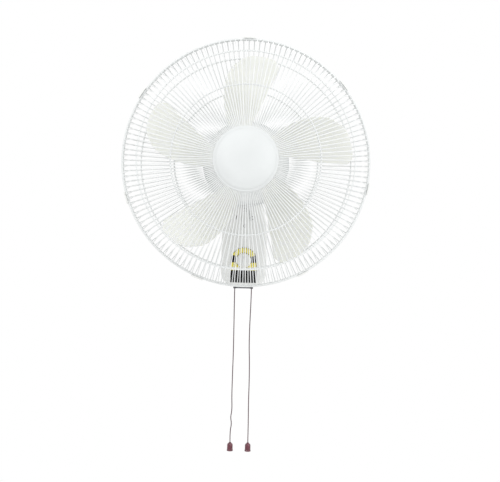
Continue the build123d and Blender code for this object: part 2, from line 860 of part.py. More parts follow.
def pivot_bracket():
    """Casting on the rear shield whose shelf carries the swing pin and the swing motor."""
    y = rear_shield_y() + shield_thick
    front = y + bracket_plate_thick
    low = shelf_bottom
    top = shelf_bottom + shelf_thick
    plate_top = axis_height - bracket_plate_drop
    shelf = block((-shelf_half, shelf_half), (front, -shelf_rear), (low, top))
    plate = block((-shelf_half, shelf_half), (y + fit_gap, front), (low, plate_top))
    webs = [block((x, x + bracket_web), (front, front + bracket_web_run), (top, plate_top))
            for x in (-shelf_half, shelf_half - bracket_web)]
    body = shelf + plate + webs
    body = body + rod_z(pin_r + bracket_plate_thick, low, top + pin_head, 0, -pivot_reach)
    body = body - rod_z(pin_r + fit_gap, low - 1, top + pin_head + 1, 0, -pivot_reach)
    return body - rod_z(crank_stub_r + face_gap, low - 1, top + 1, crank_x, -crank_reach)


def pivot_pin():
    """Swing pin, pressed in the shelf; its flange stands on the thrust washer, under the link."""
    pin = rod_z(pin_r, neck_top - pin_seat, shelf_bottom + shelf_thick + pin_head, 0, -pivot_reach)
    low = neck_top + washer_thick + 2 * run_clear
    return pin + rod_z(pin_collar_r, low, link_low - link_gap, 0, -pivot_reach)


def thrust_washer():
    low = neck_top + run_clear
    ring = rod_z(pin_collar_r, low, low + washer_thick, 0, -pivot_reach)
    return ring - rod_z(pin_r + run_clear, low - 1, low + washer_thick + 1, 0, -pivot_reach)


# Swing drive

def swing_motor():
    """Small geared motor on the shelf that turns the swing crank."""
    low = shelf_bottom + shelf_thick
    return rod_z(swing_motor_r, low, low + swing_motor_height, crank_x, -crank_reach)


def swing_crank():
    """Crank disc with its drive stub above and its pin below."""
    low = crank_top - crank_thick
    disc = rod_z(crank_r, low, crank_top, crank_x, -crank_reach)
    stub = rod_z(crank_stub_r, crank_top, shelf_bottom + shelf_thick - face_gap, crank_x, -crank_reach)
    pin = rod_z(crank_pin_r, link_low - link_gap, low, crank_x + crank_throw, -crank_reach)
    return disc + stub + pin


def swing_link():
    """Flat link from the crank pin to the stud on the neck."""
    pin_x = crank_x + crank_throw
    dx = stud_offset - pin_x
    dy = crank_reach - pivot_reach
    angle = math.degrees(math.atan2(dy, dx))
    bar = extrude(SlotCenterToCenter(math.hypot(dx, dy), link_width), link_thick)
    middle = Pos((pin_x + stud_offset) / 2, -(crank_reach + pivot_reach) / 2, link_low)
    bar = middle * Rot(0, 0, angle) * bar
    bar = bar - rod_z(crank_pin_r + run_clear, link_low - 1, link_top + 1, pin_x, -crank_reach)
    return bar - rod_z(stud_r + link_gap, link_low - 1, link_top + 1, stud_offset, -pivot_reach)


# Neck

def neck():
    """Swivel neck: tilt lug, upright socket and the arm with the link stud."""
    y = -pivot_reach
    socket_low = neck_top - pin_seat - neck_floor
    lug = rod_x(lug_r, -lug_half, lug_half, y, tilt_height)
    post = block((-lug_half, lug_half), (y - lug_half, y + lug_half), (tilt_height, socket_low + 1))
    socket = rod_z(neck_r, socket_low, neck_top, 0, y)
    arm = block((0, stud_offset), (y - stud_tip_r, y + stud_tip_r), (neck_top - stud_arm_thick, neck_top))
    tip = rod_z(stud_tip_r, neck_top - stud_arm_thick, neck_top, stud_offset, y)
    stud = rod_z(stud_r, neck_top, neck_top + stud_height, stud_offset, y)
    body = lug + post + socket + arm + tip + stud
    body = body - rod_z(pin_r + run_clear, neck_top - pin_seat - face_gap, neck_top + 1, 0, y)
    return body - rod_x(tilt_bolt_r, -lug_half - 1, lug_half + 1, y, tilt_height)


def tilt_bolt():
    """Pivot bolt of the tilt joint, fixed in the arm's ears."""
    y = -pivot_reach
    stem = rod_x(tilt_bolt_r - run_clear, -ear_half, ear_half + tilt_end, y, tilt_height)
    head = rod_x(tilt_head_r, -ear_half - tilt_head, -ear_half, y, tilt_height)
    return stem + head


def tilt_nut():
    """Hexagon nut on the tilt bolt."""
    hexagon = extrude(RegularPolygon(tilt_nut_r, 6), tilt_nut_thick)
    nut = Pos(ear_half, -pivot_reach, tilt_height) * Rot(0, 90, 0) * hexagon
    return nut - rod_x(tilt_bolt_r, ear_half - 1, ear_half + tilt_nut_thick + 1, -pivot_reach, tilt_height)


def tilt_washers():
    rings = []
    for side in (-1, 1):
        x0 = side * (lug_half + run_clear)
        x1 = side * (lug_half + run_clear + washer_thick)
        ring = rod_x(washer_r, x0, x1, -pivot_reach, tilt_height)
        rings.append(ring - rod_x(tilt_bolt_r, x0 - 2, x1 + 2, -pivot_reach, tilt_height))
    return rings


# Base

def base_outline(inset=0.0):
    """Front view of the base: round at the foot and drawn in towards the top."""
    foot = base_bottom_z + inset
    half = base_half - inset
    top = base_top_z - inset
    corner = base_foot_round - inset
    low = foot + corner
    right = [Line((0, foot), (half - corner, foot)),
             ThreePointArc((half - corner, foot),
                           (half - corner * (1 - math.sqrt(0.5)), low - corner * math.sqrt(0.5)), (half, low)),
             Line((half, low), (half, base_taper_z)),
             TangentArc((half, base_taper_z), (base_top_half - inset, top), tangent=(0, 1)),
             Line((base_top_half - inset, top), (0, top))]
    wire = Wire(right)
    face = make_face(wire.edges() + mirror(wire, about=Plane.YZ).edges())
    corners = face.vertices().filter_by(lambda v: abs(v.Y - top) < 0.1 and abs(v.X) > 1)
    return fillet(corners, base_top_round - inset)


def rear_cover():
    """Rear half of the base: a tray whose back recess takes the wall bracket."""
    outer = extruded(base_outline(), -base_split, -wall_gap)
    inner = base_outline(base_wall)
    front_room = extruded(inner, -base_split - 1, -floor_back - floor_thick)
    back_room = extruded(inner, -floor_back, 1)
    body = outer - front_room - back_room
    for x in (-cover_screw_x, cover_screw_x):
        for z in (cover_screw_low, cover_screw_high):
            body = body + rod_y(boss_r, -base_split, floor_front + boss_sink, x, z)
            body = body - rod_y(cover_screw_r - thread_core, -base_split - 1, -floor_back + 1, x, z)
    for x in (-arm_screw_x, arm_screw_x):
        for z in arm_screw_z:
            body = body + rod_y(arm_boss_r, -arm_back, floor_front + boss_sink, x, z)
            body = body - rod_y(arm_screw_r - thread_core, -arm_back - 1, floor_front, x, z)
    for x in (-hook_x, hook_x):
        body = body - block((x - hook_width / 2 - hook_gap, x + hook_width / 2 + hook_gap),
                            (floor_front - 1, -floor_back + 1), (hook_z - 1, hook_z + hook_rise + 1))
    inlet = rod_z(inlet_r + run_clear, base_bottom_z - 1, base_bottom_z + base_wall + 1, 0, inlet_y)
    return body - inlet


def front_shell():
    """Outer and inner bodies of the front cover, before openings."""
    shells = []
    for w in (0.0, base_wall):
        low = base_bottom_z - 10
        high = base_top_z + 10
        slope_top = -base_depth + w + base_slope_run
        side = make_face(Polyline((0, low), (-base_depth + w, low), (-base_depth + w, base_slope_z),
                                  (slope_top, high), (0, high), close=True))
        bend = side.vertices().sort_by_distance((-base_depth + w, base_slope_z))[0]
        side = fillet(bend, base_slope_round)
        side = extrude(Plane.YZ * side, base_half + 10, both=True)
        prism = extruded(base_outline(w), -base_depth - 1, -base_split + (1 if w else 0))
        body = prism & side
        front = body.edges().filter_by(lambda e: e.center().Y < -base_depth + base_slope_run + w + 0.1)
        shells.append(chamfer(front, base_inner_chamfer) if w else fillet(front, base_round))
    return shells


def front_cover():
    """Front half of the base, with the panel seat, the dial recess and the arm opening."""
    outer, inner = front_shell()
    body = outer - inner
    seat = extruded(panel_outline(-seat_gap), -base_depth - 1, panel_front + panel_thick)
    body = body - seat
    body = body - rod_y(switch_bush_r + spindle_gap, -base_depth - 1, cover_back + 1, 0, panel_centre_z)
    body = body - rod_y(dial_r + dial_gap, -base_depth - 1, -base_depth + dial_recess, 0, dial_z)
    body = body - rod_y(dial_spindle_r + run_clear, -base_depth - 1, cover_back + 1, 0, dial_z)
    half = ear_half + arm_gap
    body = body - block((-half, half), (-base_depth - 2, -arm_notch_back), (arm_low - arm_gap, base_top_z + 5))
    bottom = block((-cord_x - eyelet_r, cord_x + eyelet_r),
                   (cord_y - guide_half_width, cord_y + guide_half_width),
                   (base_bottom_z - 5, base_bottom_z + base_wall + 2))
    body = body - bottom
    for x in (-cover_screw_x, cover_screw_x):
        for z in (cover_screw_low, cover_screw_high):
            post = rod_y(boss_r, -base_split - post_gap, -base_depth + base_wall / 2, x, z)
            body = body + (post & outer)
            hole_end = floor_front - cover_screw_length - 1
            body = body - rod_y(cover_screw_r - thread_core, hole_end, -base_split + 1, x, z)
    return body


def cover_screws():
    """Screws from behind that join the two covers."""
    screws = []
    for x in (-cover_screw_x, cover_screw_x):
        for z in (cover_screw_low, cover_screw_high):
            end = floor_front - cover_screw_length
            screws.append(rod_y(cover_screw_r - thread_core - fit_gap, end, -floor_back, x, z))
    return screws


def wall_bracket():
    """Steel plate screwed to the wall; its two hooks carry the fan."""
    plate = extruded(RectangleRounded(bracket_width, bracket_height, bracket_round), -bracket_sheet, 0)
    for x in (-bracket_hole_dx / 2, bracket_hole_dx / 2):
        for z in (-bracket_hole_dz / 2, bracket_hole_dz / 2):
            plate = plate - rod_y(bracket_hole_r, -bracket_sheet - 1, 1, x, z)
    reach = floor_back + floor_thick + face_gap
    for x in (-hook_x, hook_x):
        sides = (x - hook_width / 2, x + hook_width / 2)
        leg = block(sides, (-reach - bracket_sheet, -bracket_sheet / 2), (hook_z, hook_z + bracket_sheet))
        tip = block(sides, (-reach - bracket_sheet, -reach), (hook_z, hook_z + hook_rise))
        plate = plate + leg + tip
    return plate


def support_arm():
    """Casting that reaches out of the base and carries the tilt bolt in its two ears."""
    half = ear_half
    y = -pivot_reach
    back = -arm_back
    front = back - arm_plate_thick
    depth, height = arm_gusset
    inside_top = base_top_z - base_wall - arm_gap
    beam = block((-half, half), (y, -arm_notch_back - arm_gap), (arm_low, base_top_z))
    beam = beam + block((-half, half), (-arm_notch_back - 1, back), (arm_low, inside_top))
    ears = rod_x(lug_r, -half, half, y, tilt_height)
    plate = block((-arm_plate_half, arm_plate_half), (front, back), (arm_low - arm_plate_drop, arm_low + 2))
    gusset = block((-half, half), (back - depth, back), (arm_low - height, arm_low + 2))
    body = beam + ears + plate + gusset
    body = body - block((-ear_gap, ear_gap), (y - lug_r - 1, y + lug_r + arm_wall),
                        (arm_low - 2, base_top_z + 4))
    body = body - block((arm_wall - half, half - arm_wall), (y + lug_r + 2 * arm_wall, front),
                        (arm_low - 1, inside_top - arm_wall))
    body = body - rod_x(tilt_bolt_r, -half - 1, half + 1, y, tilt_height)
    for x in (-arm_screw_x, arm_screw_x):
        for z in arm_screw_z:
            body = body - rod_y(arm_screw_r + hole_room, front - 1, back + 1, x, z)
    return body


def arm_screws():
    back = -arm_back
    head = back - arm_plate_thick
    screws = []
    for x in (-arm_screw_x, arm_screw_x):
        for z in arm_screw_z:
            stem = rod_y(arm_screw_r - thread_core - fit_gap, head, back + arm_screw_bite, x, z)
            screws.append(stem + rod_y(arm_screw_head_r, head - arm_screw_head, head, x, z))
    return screws


# Control panel

def panel_outline(inset=0.0, low=None):
    """Panel front: square foot and an arch round the knob axis."""
    half = panel_half - inset
    foot = (panel_low + inset) if low is None else low
    return make_face([Line((-half, foot), (half, foot)), Line((half, foot), (half, panel_centre_z)),
                      ThreePointArc((half, panel_centre_z), (0, panel_centre_z + half),
                                    (-half, panel_centre_z)),
                      Line((-half, panel_centre_z), (-half, foot))])


def control_panel():
    """Black panel in the front cover's seat."""
    front = panel_front
    body = extruded(panel_outline(), front, front + panel_thick)
    body = chamfer(body.faces().sort_by(Axis.Y)[0].edges(), panel_chamfer)
    return body - rod_y(knob_spindle_r + spindle_gap, front - 1, front + panel_thick + 1, 0, panel_centre_z)


def scale_strips():
    """Yellow strips on the panel: an arch over the knob and a band below it."""
    front = panel_front
    outer_r = panel_half - scale_border
    ring = rod_y(outer_r, front - scale_thick, front, 0, panel_centre_z)
    ring = ring - rod_y(scale_inner_r, front - scale_thick - 1, front + 1, 0, panel_centre_z)
    reach = outer_r + 5
    a = math.radians(scale_half_angle)
    wedge = make_face(Polyline((0, panel_centre_z), (reach * math.tan(a), panel_centre_z + reach),
                               (-reach * math.tan(a), panel_centre_z + reach), close=True))
    arch = ring & extruded(wedge, front - 5, front + 5)
    band = block((-outer_r, outer_r), (front - scale_thick, front), (band_low, band_top))
    band = band - rod_y(knob_r + 2 * face_gap, front - 2, front + 1, 0, panel_centre_z)
    return [arch, band]


def control_knob():
    """Round knob with a grip ridge and its spindle."""
    back = panel_front - face_gap
    front = back - knob_height
    body = turned([(0, back), (knob_r, back), (knob_r, back - knob_skirt),
                   (knob_r - knob_taper[0], front + knob_edge), (knob_r - knob_taper[1], front), (0, front)],
                  0, panel_centre_z)
    reach = knob_r - knob_ridge_short
    ridge = block((-knob_ridge_half, knob_ridge_half), (front - knob_ridge_height, front),
                  (panel_centre_z - reach, panel_centre_z + reach))
    ridge = fillet(ridge.edges().filter_by(Axis.Y), knob_ridge_round)
    spindle = rod_y(knob_spindle_r, back, cover_back + knob_spindle_end, 0, panel_centre_z)
    return body + ridge + spindle


def control_switch():
    """Rotary switch behind the panel that the knob's spindle turns."""
    bush_front = panel_front + panel_thick
    body = rod_y(switch_r, cover_back, cover_back + switch_depth, 0, panel_centre_z)
    body = body + rod_y(switch_bush_r, bush_front, cover_back, 0, panel_centre_z)
    bore_end = cover_back + knob_spindle_end + face_gap
    return body - rod_y(knob_spindle_r + run_clear, bush_front - 1, bore_end, 0, panel_centre_z)


def speed_dial():
    """Turning dial with a raised pointer that shows the speed set by the cord."""
    back = -base_depth + dial_recess - face_gap
    front = back - dial_thick
    body = rod_y(dial_r, front, back, 0, dial_z)
    low, high = dial_pointer_ends
    pointer = block((-dial_pointer_half, dial_pointer_half), (front - dial_pointer_proud, front),
                    (dial_z - dial_r + low, dial_z + dial_r - high))
    spindle = rod_y(dial_spindle_r, back, cover_back + dial_spindle_end, 0, dial_z)
    return body + pointer + spindle


def dial_detent():
    """Detent block behind the cover that the dial's spindle runs in."""
    half = detent_half
    body = block((-half, half), (cover_back, cover_back + detent_depth), (dial_z - half, dial_z + half))
    bore_end = cover_back + dial_spindle_end + face_gap
    return body - rod_y(dial_spindle_r + run_clear, cover_back - 1, bore_end, 0, dial_z)


# Pull cords and switches

def cord_guide():
    """Dark strip in the base's foot with one eyelet for each cord."""
    low = base_bottom_z - guide_drop
    half_x = cord_x + eyelet_r - seat_gap
    half_y = guide_half_width - seat_gap
    plate = block((-half_x, half_x), (cord_y - half_y, cord_y + half_y), (low, low + guide_thick))
    for x in (-cord_x, cord_x):
        plate = plate + rod_z(guide_nose_r, low - guide_nose, low, x, cord_y)
        plate = plate - rod_z(eyelet_bore_r, low - guide_nose - 1, low + guide_thick + 1, x, cord_y)
    return plate


def pull_switch_body(x):
    """Pull switch whose threaded mouth stands on the cord guide; the cord runs up into it."""
    w, d, h = pull_switch
    low = base_bottom_z - guide_drop + guide_thick
    seat = low + mouth_length
    mouth = rod_z(mouth_r, low, seat, x, cord_y)
    middle = cord_y + pull_switch_shift
    body = block((x - w / 2, x + w / 2), (middle - d / 2, middle + d / 2), (seat, seat + h))
    return mouth + body - rod_z(eyelet_bore_r, low - 1, cord_top + 1, x, cord_y)


def pull_cord(x, route):
    """Round cord along straight runs joined by tangent arcs."""
    points = [Vector(x + dx, cord_y + dy, z) for dx, dy, z in route]
    radii = []
    for a, b, c in zip(points, points[1:], points[2:]):
        turn = math.radians((b - a).get_angle(c - b))
        radii.append(cord_bend_share * min((b - a).length, (c - b).length) / math.tan(turn / 2))
    path = FilletPolyline(*points, radius=radii)
    start = Plane(origin=points[0], z_dir=points[1] - points[0])
    section = RegularPolygon(cord_r, cord_sides)
    cord = sweep(start * section, path=path)
    expected = section.area * path.length
    print("cord at x", x, "length", round(path.length, 1), "volume share", round(cord.volume / expected, 4),
          "least radius", round(min(radii), 1))
    return cord


left_route = [(0.0, 0.0, cord_top), (0.0, 0.0, -128.0), (0.5, 0.0, -184.0), (0.9, 0.1, -240.0),
              (0.3, -0.2, -294.0), (-0.1, 0.0, -342.0), (1.4, 0.2, -374.0), (-1.6, 0.0, -389.0),
              (1.2, -0.3, -404.0), (-2.0, 0.0, -421.0), (-1.2, 0.0, bell_top_z - cord_seat)]
right_route = [(0.0, 0.0, cord_top), (0.0, 0.0, -126.0), (-1.6, 0.2, -180.0), (-1.9, 0.1, -232.0),
               (-0.2, -0.2, -262.0), (0.6, 0.0, -310.0), (0.1, 0.2, -356.0), (1.0, 0.0, -406.0),
               (1.0, 0.0, bell_top_z - cord_seat)]


def bell_pull(x, route):
    """Turned bell on the end of a cord, hollow below and blind above."""
    x = x + route[-1][0]
    top = bell_top_z
    low = top - bell_length
    bore = cord_r + fit_gap
    floor = top - cord_seat - fit_gap
    shoulder_r, drop = bell_shoulder
    return turned_up([(bore, top), (bell_collar_r, top), (shoulder_r, top - drop), (bell_r, low + bell_rim),
                      (bell_r, low), (bell_hollow_r, low), (bell_hollow_r, low + bell_hollow),
                      (0, low + bell_hollow), (0, floor), (bore, floor)], x, cord_y)


# Electrical parts in the base

def run_capacitor():
    w, d, h = capacitor
    body = block((-w / 2, w / 2), (floor_front - d, floor_front), (capacitor_z, capacitor_z + h))
    return fillet(body.edges().filter_by(Axis.Y), capacitor_round)


def terminal_block():
    w, d, h = terminal
    front = floor_front - d
    body = block((-w / 2, w / 2), (front, floor_front), (terminal_z, terminal_z + h))
    for i in range(terminal_count):
        x = w * ((i + 0.5) / terminal_count - 0.5)
        body = body - rod_y(terminal_hole_r, front - 1, front + terminal_hole, x, terminal_z + h / 2)
    return body


def mains_inlet():
    """Bush in the base's foot where a mains cord enters; no cord is shown."""
    low = base_bottom_z - inlet_flange
    return turned_up([(inlet_bore_r, low), (inlet_flange_r, low), (inlet_flange_r, base_bottom_z),
                      (inlet_r, base_bottom_z), (inlet_r, low + inlet_length),
                      (inlet_bore_r, low + inlet_length)], 0, inlet_y)


nodes = {
    "wall_bracket": wall_bracket, "rear_cover": rear_cover, "front_cover": front_cover,
    "cover_screws": cover_screws, "support_arm": support_arm, "arm_screws": arm_screws,
    "control_panel": control_panel, "scale_strips": scale_strips, "control_knob": control_knob,
    "control_switch": control_switch, "speed_dial": speed_dial, "dial_detent": dial_detent,
    "cord_guide": cord_guide, "speed_switch": lambda: pull_switch_body(-cord_x),
    "swing_switch": lambda: pull_switch_body(cord_x), "run_capacitor": run_capacitor,
    "terminal_block": terminal_block, "mains_inlet": mains_inlet,
    "speed_cord": lambda: pull_cord(-cord_x, left_route), "speed_pull": lambda: bell_pull(-cord_x, left_route),
    "swing_cord": lambda: pull_cord(cord_x, right_route), "swing_pull": lambda: bell_pull(cord_x, right_route),
    "tilt_bolt": tilt_bolt, "tilt_nut": tilt_nut, "tilt_washers": tilt_washers, "neck": neck,
    "pivot_bracket": pivot_bracket, "pivot_pin": pivot_pin, "thrust_washer": thrust_washer,
    "swing_motor": swing_motor, "swing_crank": swing_crank, "swing_link": swing_link,
    "motor_front_cover": motor_front_cover, "motor_rear_cover": motor_rear_cover,
    "front_shield": front_shield, "rear_shield": rear_shield, "stator": stator,
    "stator_spacers": stator_spacers, "windings": windings, "front_bearing": front_bearing,
    "rear_bearing": rear_bearing, "motor_bolts": motor_bolts, "guard_nut": guard_nut,
    "rear_guard_plate": rear_guard_plate, "rear_guard_wires": rear_guard_wires,
    "rear_guard_rings": rear_guard_rings, "rear_rim": rear_rim, "front_guard_wires": front_guard_wires,
    "front_guard_rings": front_guard_rings, "front_rim": front_rim, "guard_clips": guard_clips,
    "guard_cap": guard_cap, "cap_plate": cap_plate, "cap_screws": cap_screws,
    "shaft": shaft, "rotor_core": rotor_core, "fan_blades": fan_blades, "spinner": spinner,
    "drive_pin": drive_pin,
}


def solids_of(made):
    pieces = made if isinstance(made, (list, tuple)) else [made]
    return [solid for piece in pieces for solid in piece.solids()]


os.makedirs("parts", exist_ok=True)
for name, make in nodes.items():
    solids = solids_of(make())
    shape = solids[0] if len(solids) == 1 else Compound(children=solids)
    export_step(shape, f"parts/{name}.step")
    print(name, len(solids), "solids", round(sum(s.volume for s in solids)), "mm3")
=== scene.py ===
import math

import bmesh
import bpy
import numpy as np
from mathutils import Matrix, Vector


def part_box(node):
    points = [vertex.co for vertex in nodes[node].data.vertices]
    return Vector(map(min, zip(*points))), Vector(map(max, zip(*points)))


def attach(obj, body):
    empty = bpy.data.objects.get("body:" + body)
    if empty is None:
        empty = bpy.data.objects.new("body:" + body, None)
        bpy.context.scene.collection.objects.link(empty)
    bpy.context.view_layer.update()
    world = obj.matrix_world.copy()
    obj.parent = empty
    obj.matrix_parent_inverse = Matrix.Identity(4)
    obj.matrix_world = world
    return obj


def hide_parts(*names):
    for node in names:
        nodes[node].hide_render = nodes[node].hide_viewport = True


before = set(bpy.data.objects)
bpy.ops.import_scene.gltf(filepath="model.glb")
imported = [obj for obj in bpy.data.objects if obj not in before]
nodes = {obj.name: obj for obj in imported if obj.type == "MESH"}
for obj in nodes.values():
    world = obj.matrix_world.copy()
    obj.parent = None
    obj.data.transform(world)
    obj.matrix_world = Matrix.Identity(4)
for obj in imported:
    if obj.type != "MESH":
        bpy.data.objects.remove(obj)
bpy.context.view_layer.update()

# Blender works in metres. The dictionaries of the pieces give millimetres and degrees, and mm turns a
# length in millimetres into metres. Camera, lamps and floor are given in metres.
mm = 0.001
weldDistance = 0.002 * mm     # points closer than this are merged
print("frame loaded,", len(nodes), "nodes")

# The fan axis and the plane between the two rims, from the frame
frontRimLow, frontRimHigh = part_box("front_rim")
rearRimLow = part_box("rear_rim")[0]
axisZ = (frontRimLow.z + frontRimHigh.z) / 2
partingY = (frontRimHigh.y + rearRimLow.y) / 2


def frontFace(node):
    # where a node's front lies along y, in millimetres
    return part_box(node)[0].y / mm


# Shapes

def gridQuads(rows, columns, closeRows=False, closeColumns=False):
    # one quad for each cell between neighbours of a grid
    i, j = np.meshgrid(np.arange(rows if closeRows else rows - 1),
                       np.arange(columns if closeColumns else columns - 1), indexing="ij")
    nextI, nextJ = (i + 1) % rows, (j + 1) % columns
    quads = [i * columns + j, nextI * columns + j, nextI * columns + nextJ, i * columns + nextJ]
    return np.stack(quads, -1).reshape(-1, 4)


def gridMesh(name, points, closeRows=False, closeColumns=False):
    # points[i, j] is a surface of two parameters
    rows, columns = points.shape[:2]
    return quadMesh(name, points.reshape(-1, 3), gridQuads(rows, columns, closeRows, closeColumns))


def quadMesh(name, places, quads):
    # a mesh from points in metres and the four point numbers of each face
    mesh = bpy.data.meshes.new(name)
    mesh.vertices.add(len(places))
    mesh.vertices.foreach_set("co", np.ascontiguousarray(places, np.float32).ravel())
    mesh.loops.add(quads.size)
    mesh.loops.foreach_set("vertex_index", np.ascontiguousarray(quads, np.int32).ravel())
    mesh.polygons.add(len(quads))
    mesh.polygons.foreach_set("loop_start", np.arange(0, quads.size, 4, dtype=np.int32))
    mesh.update(calc_edges=True)
    mesh.validate()
    return mesh


def newPiece(name, mesh, sharpAngle=35, outward=True):
    # merged, with normals outwards, and smooth except across edges sharper than the angle
    shape = bmesh.new()
    shape.from_mesh(mesh)
    bmesh.ops.remove_doubles(shape, verts=shape.verts, dist=weldDistance)
    if outward:
        bmesh.ops.recalc_face_normals(shape, faces=shape.faces)
    shape.to_mesh(mesh)
    shape.free()
    mesh.shade_smooth()
    mesh.set_sharp_from_angle(angle=math.radians(sharpAngle))
    piece = bpy.data.objects.new(name, mesh)
    bpy.context.scene.collection.objects.link(piece)
    return piece


def joinMeshes(name, meshes):
    # one mesh from several
    joined = bmesh.new()
    for mesh in meshes:
        joined.from_mesh(mesh)
    result = bpy.data.meshes.new(name)
    joined.to_mesh(result)
    joined.free()
    return result


def roundedPath(corners, steps=6, closed=False):
    # straight runs between (a, b, radius) corners, each corner replaced by a tangent arc of its radius;
    # an arc takes at most 0.49 of the runs beside it
    corners = np.array(corners, float)
    spots, radii = corners[:, :2], corners[:, 2]
    count = len(corners)
    path = []
    for k, radius in enumerate(radii):
        here = spots[k]
        if radius == 0 or (not closed and k in (0, count - 1)):
            path.append(here[None])
            continue
        back = spots[k - 1] - here
        ahead = spots[(k + 1) % count] - here
        backLength, aheadLength = np.linalg.norm(back), np.linalg.norm(ahead)
        back, ahead = back / backLength, ahead / aheadLength
        half = math.acos(float(np.clip(np.dot(back, ahead), -1, 1))) / 2
        reach = min(radius / math.tan(half), 0.49 * backLength, 0.49 * aheadLength)
        radius = reach * math.tan(half)
        bisector = (back + ahead) / np.linalg.norm(back + ahead)
        centre = here + bisector * radius / math.sin(half)
        start, end = here + back * reach - centre, here + ahead * reach - centre
        turn = math.pi - 2 * half
        share = np.linspace(0, 1, steps)[:, None]
        arc = (np.sin((1 - share) * turn) * start + np.sin(share * turn) * end) / math.sin(turn)
        path.append(centre + arc)
    return np.concatenate(path)


def smoothCurve(knots, count):
    # Catmull-Rom curve through the knots, read at even shares of its chord length
    knots = np.array(knots, float)
    padded = np.vstack([2 * knots[0] - knots[1], knots, 2 * knots[-1] - knots[-2]])
    chord = np.concatenate([[0], np.cumsum(np.linalg.norm(np.diff(knots, axis=0), axis=1))])
    place = np.linspace(0, chord[-1], count)
    k = np.clip(np.searchsorted(chord, place, side="right") - 1, 0, len(knots) - 2)
    t = ((place - chord[k]) / (chord[k + 1] - chord[k]))[:, None]
    a, b, c, d = padded[k], padded[k + 1], padded[k + 2], padded[k + 3]
    bend = (2 * a - 5 * b + 4 * c - d) * t ** 2 + (3 * b - a - 3 * c + d) * t ** 3
    return 0.5 * (2 * b + (c - a) * t + bend)


def latheY(name, profile, z=axisZ, steps=96, closed=True):
    # the (r, y) profile turned about an axis along Y: x = r sin a, z = r cos a
    turn = np.linspace(0, 2 * math.pi, steps, endpoint=False)
    radius, depth = profile[:, 0, None], profile[:, 1, None]
    points = np.stack([radius * np.sin(turn), np.broadcast_to(depth, (len(profile), steps)),
                       z + radius * np.cos(turn)], -1)
    return gridMesh(name, points, closeRows=closed, closeColumns=True)


def latheZ(name, profile, x=0.0, y=0.0, steps=64, closed=True):
    # the (r, z) profile turned about an axis along Z: x = r cos a, y = r sin a
    turn = np.linspace(0, 2 * math.pi, steps, endpoint=False)
    radius, height = profile[:, 0, None], profile[:, 1, None]
    points = np.stack([x + radius * np.cos(turn), y + radius * np.sin(turn),
                       np.broadcast_to(height, (len(profile), steps))], -1)
    return gridMesh(name, points, closeRows=closed, closeColumns=True)


def aroundAxis(places, angle):
    # turned about the fan axis, clockwise seen from the front
    x, z = places[..., 0], places[..., 2] - axisZ
    return np.stack([x * math.cos(angle) + z * math.sin(angle), places[..., 1],
                     axisZ - x * math.sin(angle) + z * math.cos(angle)], -1)


# A box's faces, as numbers of the corners that boxCorners gives
boxQuads = np.array([(0, 1, 3, 2), (4, 6, 7, 5), (0, 4, 5, 1), (2, 3, 7, 6), (0, 2, 6, 4), (1, 5, 7, 3)])


def boxCorners(low, high):
    # the eight corners in metres, from two opposite ones in millimetres; z changes first, then y
    return np.stack(np.meshgrid(*zip(low, high), indexing="ij"), -1).reshape(-1, 3) * mm


def boxMesh(low, high):
    # a closed box between two opposite corners in millimetres
    return quadMesh("box", boxCorners(low, high), boxQuads)


def addWall(piece, thickness, edgeWidth=0.0, edgeSteps=2):
    # a wall with the surface in its middle, and rounded edges, both in millimetres
    wall = piece.modifiers.new("wall", "SOLIDIFY")
    wall.thickness = thickness * mm
    wall.offset = 0
    if edgeWidth:
        edge = piece.modifiers.new("edge", "BEVEL")
        edge.width = edgeWidth * mm
        edge.segments = edgeSteps
        edge.limit_method = "ANGLE"
    return piece


def cutAway(piece, cutter):
    # the piece less the cutter, kept as a plain mesh
    cut = piece.modifiers.new("cut", "BOOLEAN")
    cut.object = cutter
    cut.operation = "DIFFERENCE"
    cut.solver = "EXACT"
    cut.use_self = True
    bpy.context.view_layer.update()
    result = bpy.data.meshes.new_from_object(piece.evaluated_get(bpy.context.evaluated_depsgraph_get()))
    piece.modifiers.clear()
    piece.data = result
    bpy.data.objects.remove(cutter)
    result.shade_smooth()
    result.set_sharp_from_angle(angle=math.radians(35))
    return piece


def cadCopy(name, node, edgeWidth=0.0):
    # a merged copy of a CAD node, smooth shaded, with the edges sharper than 50 degrees slightly rounded;
    # faces that are level within 0.3 degrees are joined up, so that no triangle shows in the shading
    shape = bmesh.new()
    shape.from_mesh(nodes[node].data)
    bmesh.ops.remove_doubles(shape, verts=shape.verts, dist=weldDistance)
    bmesh.ops.dissolve_limit(shape, angle_limit=math.radians(0.3), verts=shape.verts, edges=shape.edges)
    mesh = bpy.data.meshes.new(name)
    shape.to_mesh(mesh)
    shape.free()
    piece = newPiece(name, mesh, 30, outward=False)
    if edgeWidth:
        rounding = piece.modifiers.new("edgeRounding", "BEVEL")
        rounding.width = edgeWidth * mm
        rounding.segments = 2
        rounding.limit_method = "ANGLE"
        rounding.angle_limit = math.radians(50)
        rounding.harden_normals = True
    even = piece.modifiers.new("evenShading", "WEIGHTED_NORMAL")
    even.keep_sharp = True
    return piece


def paint(piece, material):
    # one finish for the whole piece
    piece.data.materials.clear()
    piece.data.materials.append(material)


def place(piece, body, slot, material, *replaced):
    # the piece's finish, the body that it moves with and the CAD nodes that it stands for; the slot is not
    # used
    paint(piece, material)
    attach(piece, body)
    if replaced:
        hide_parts(*replaced)


# Materials

def linear(colour):
    # sRGB hex to linear
    channels = [int(colour[k:k + 2], 16) / 255 for k in (1, 3, 5)]
    return [c / 12.92 if c <= 0.04045 else ((c + 0.055) / 1.055) ** 2.4 for c in channels] + [1.0]


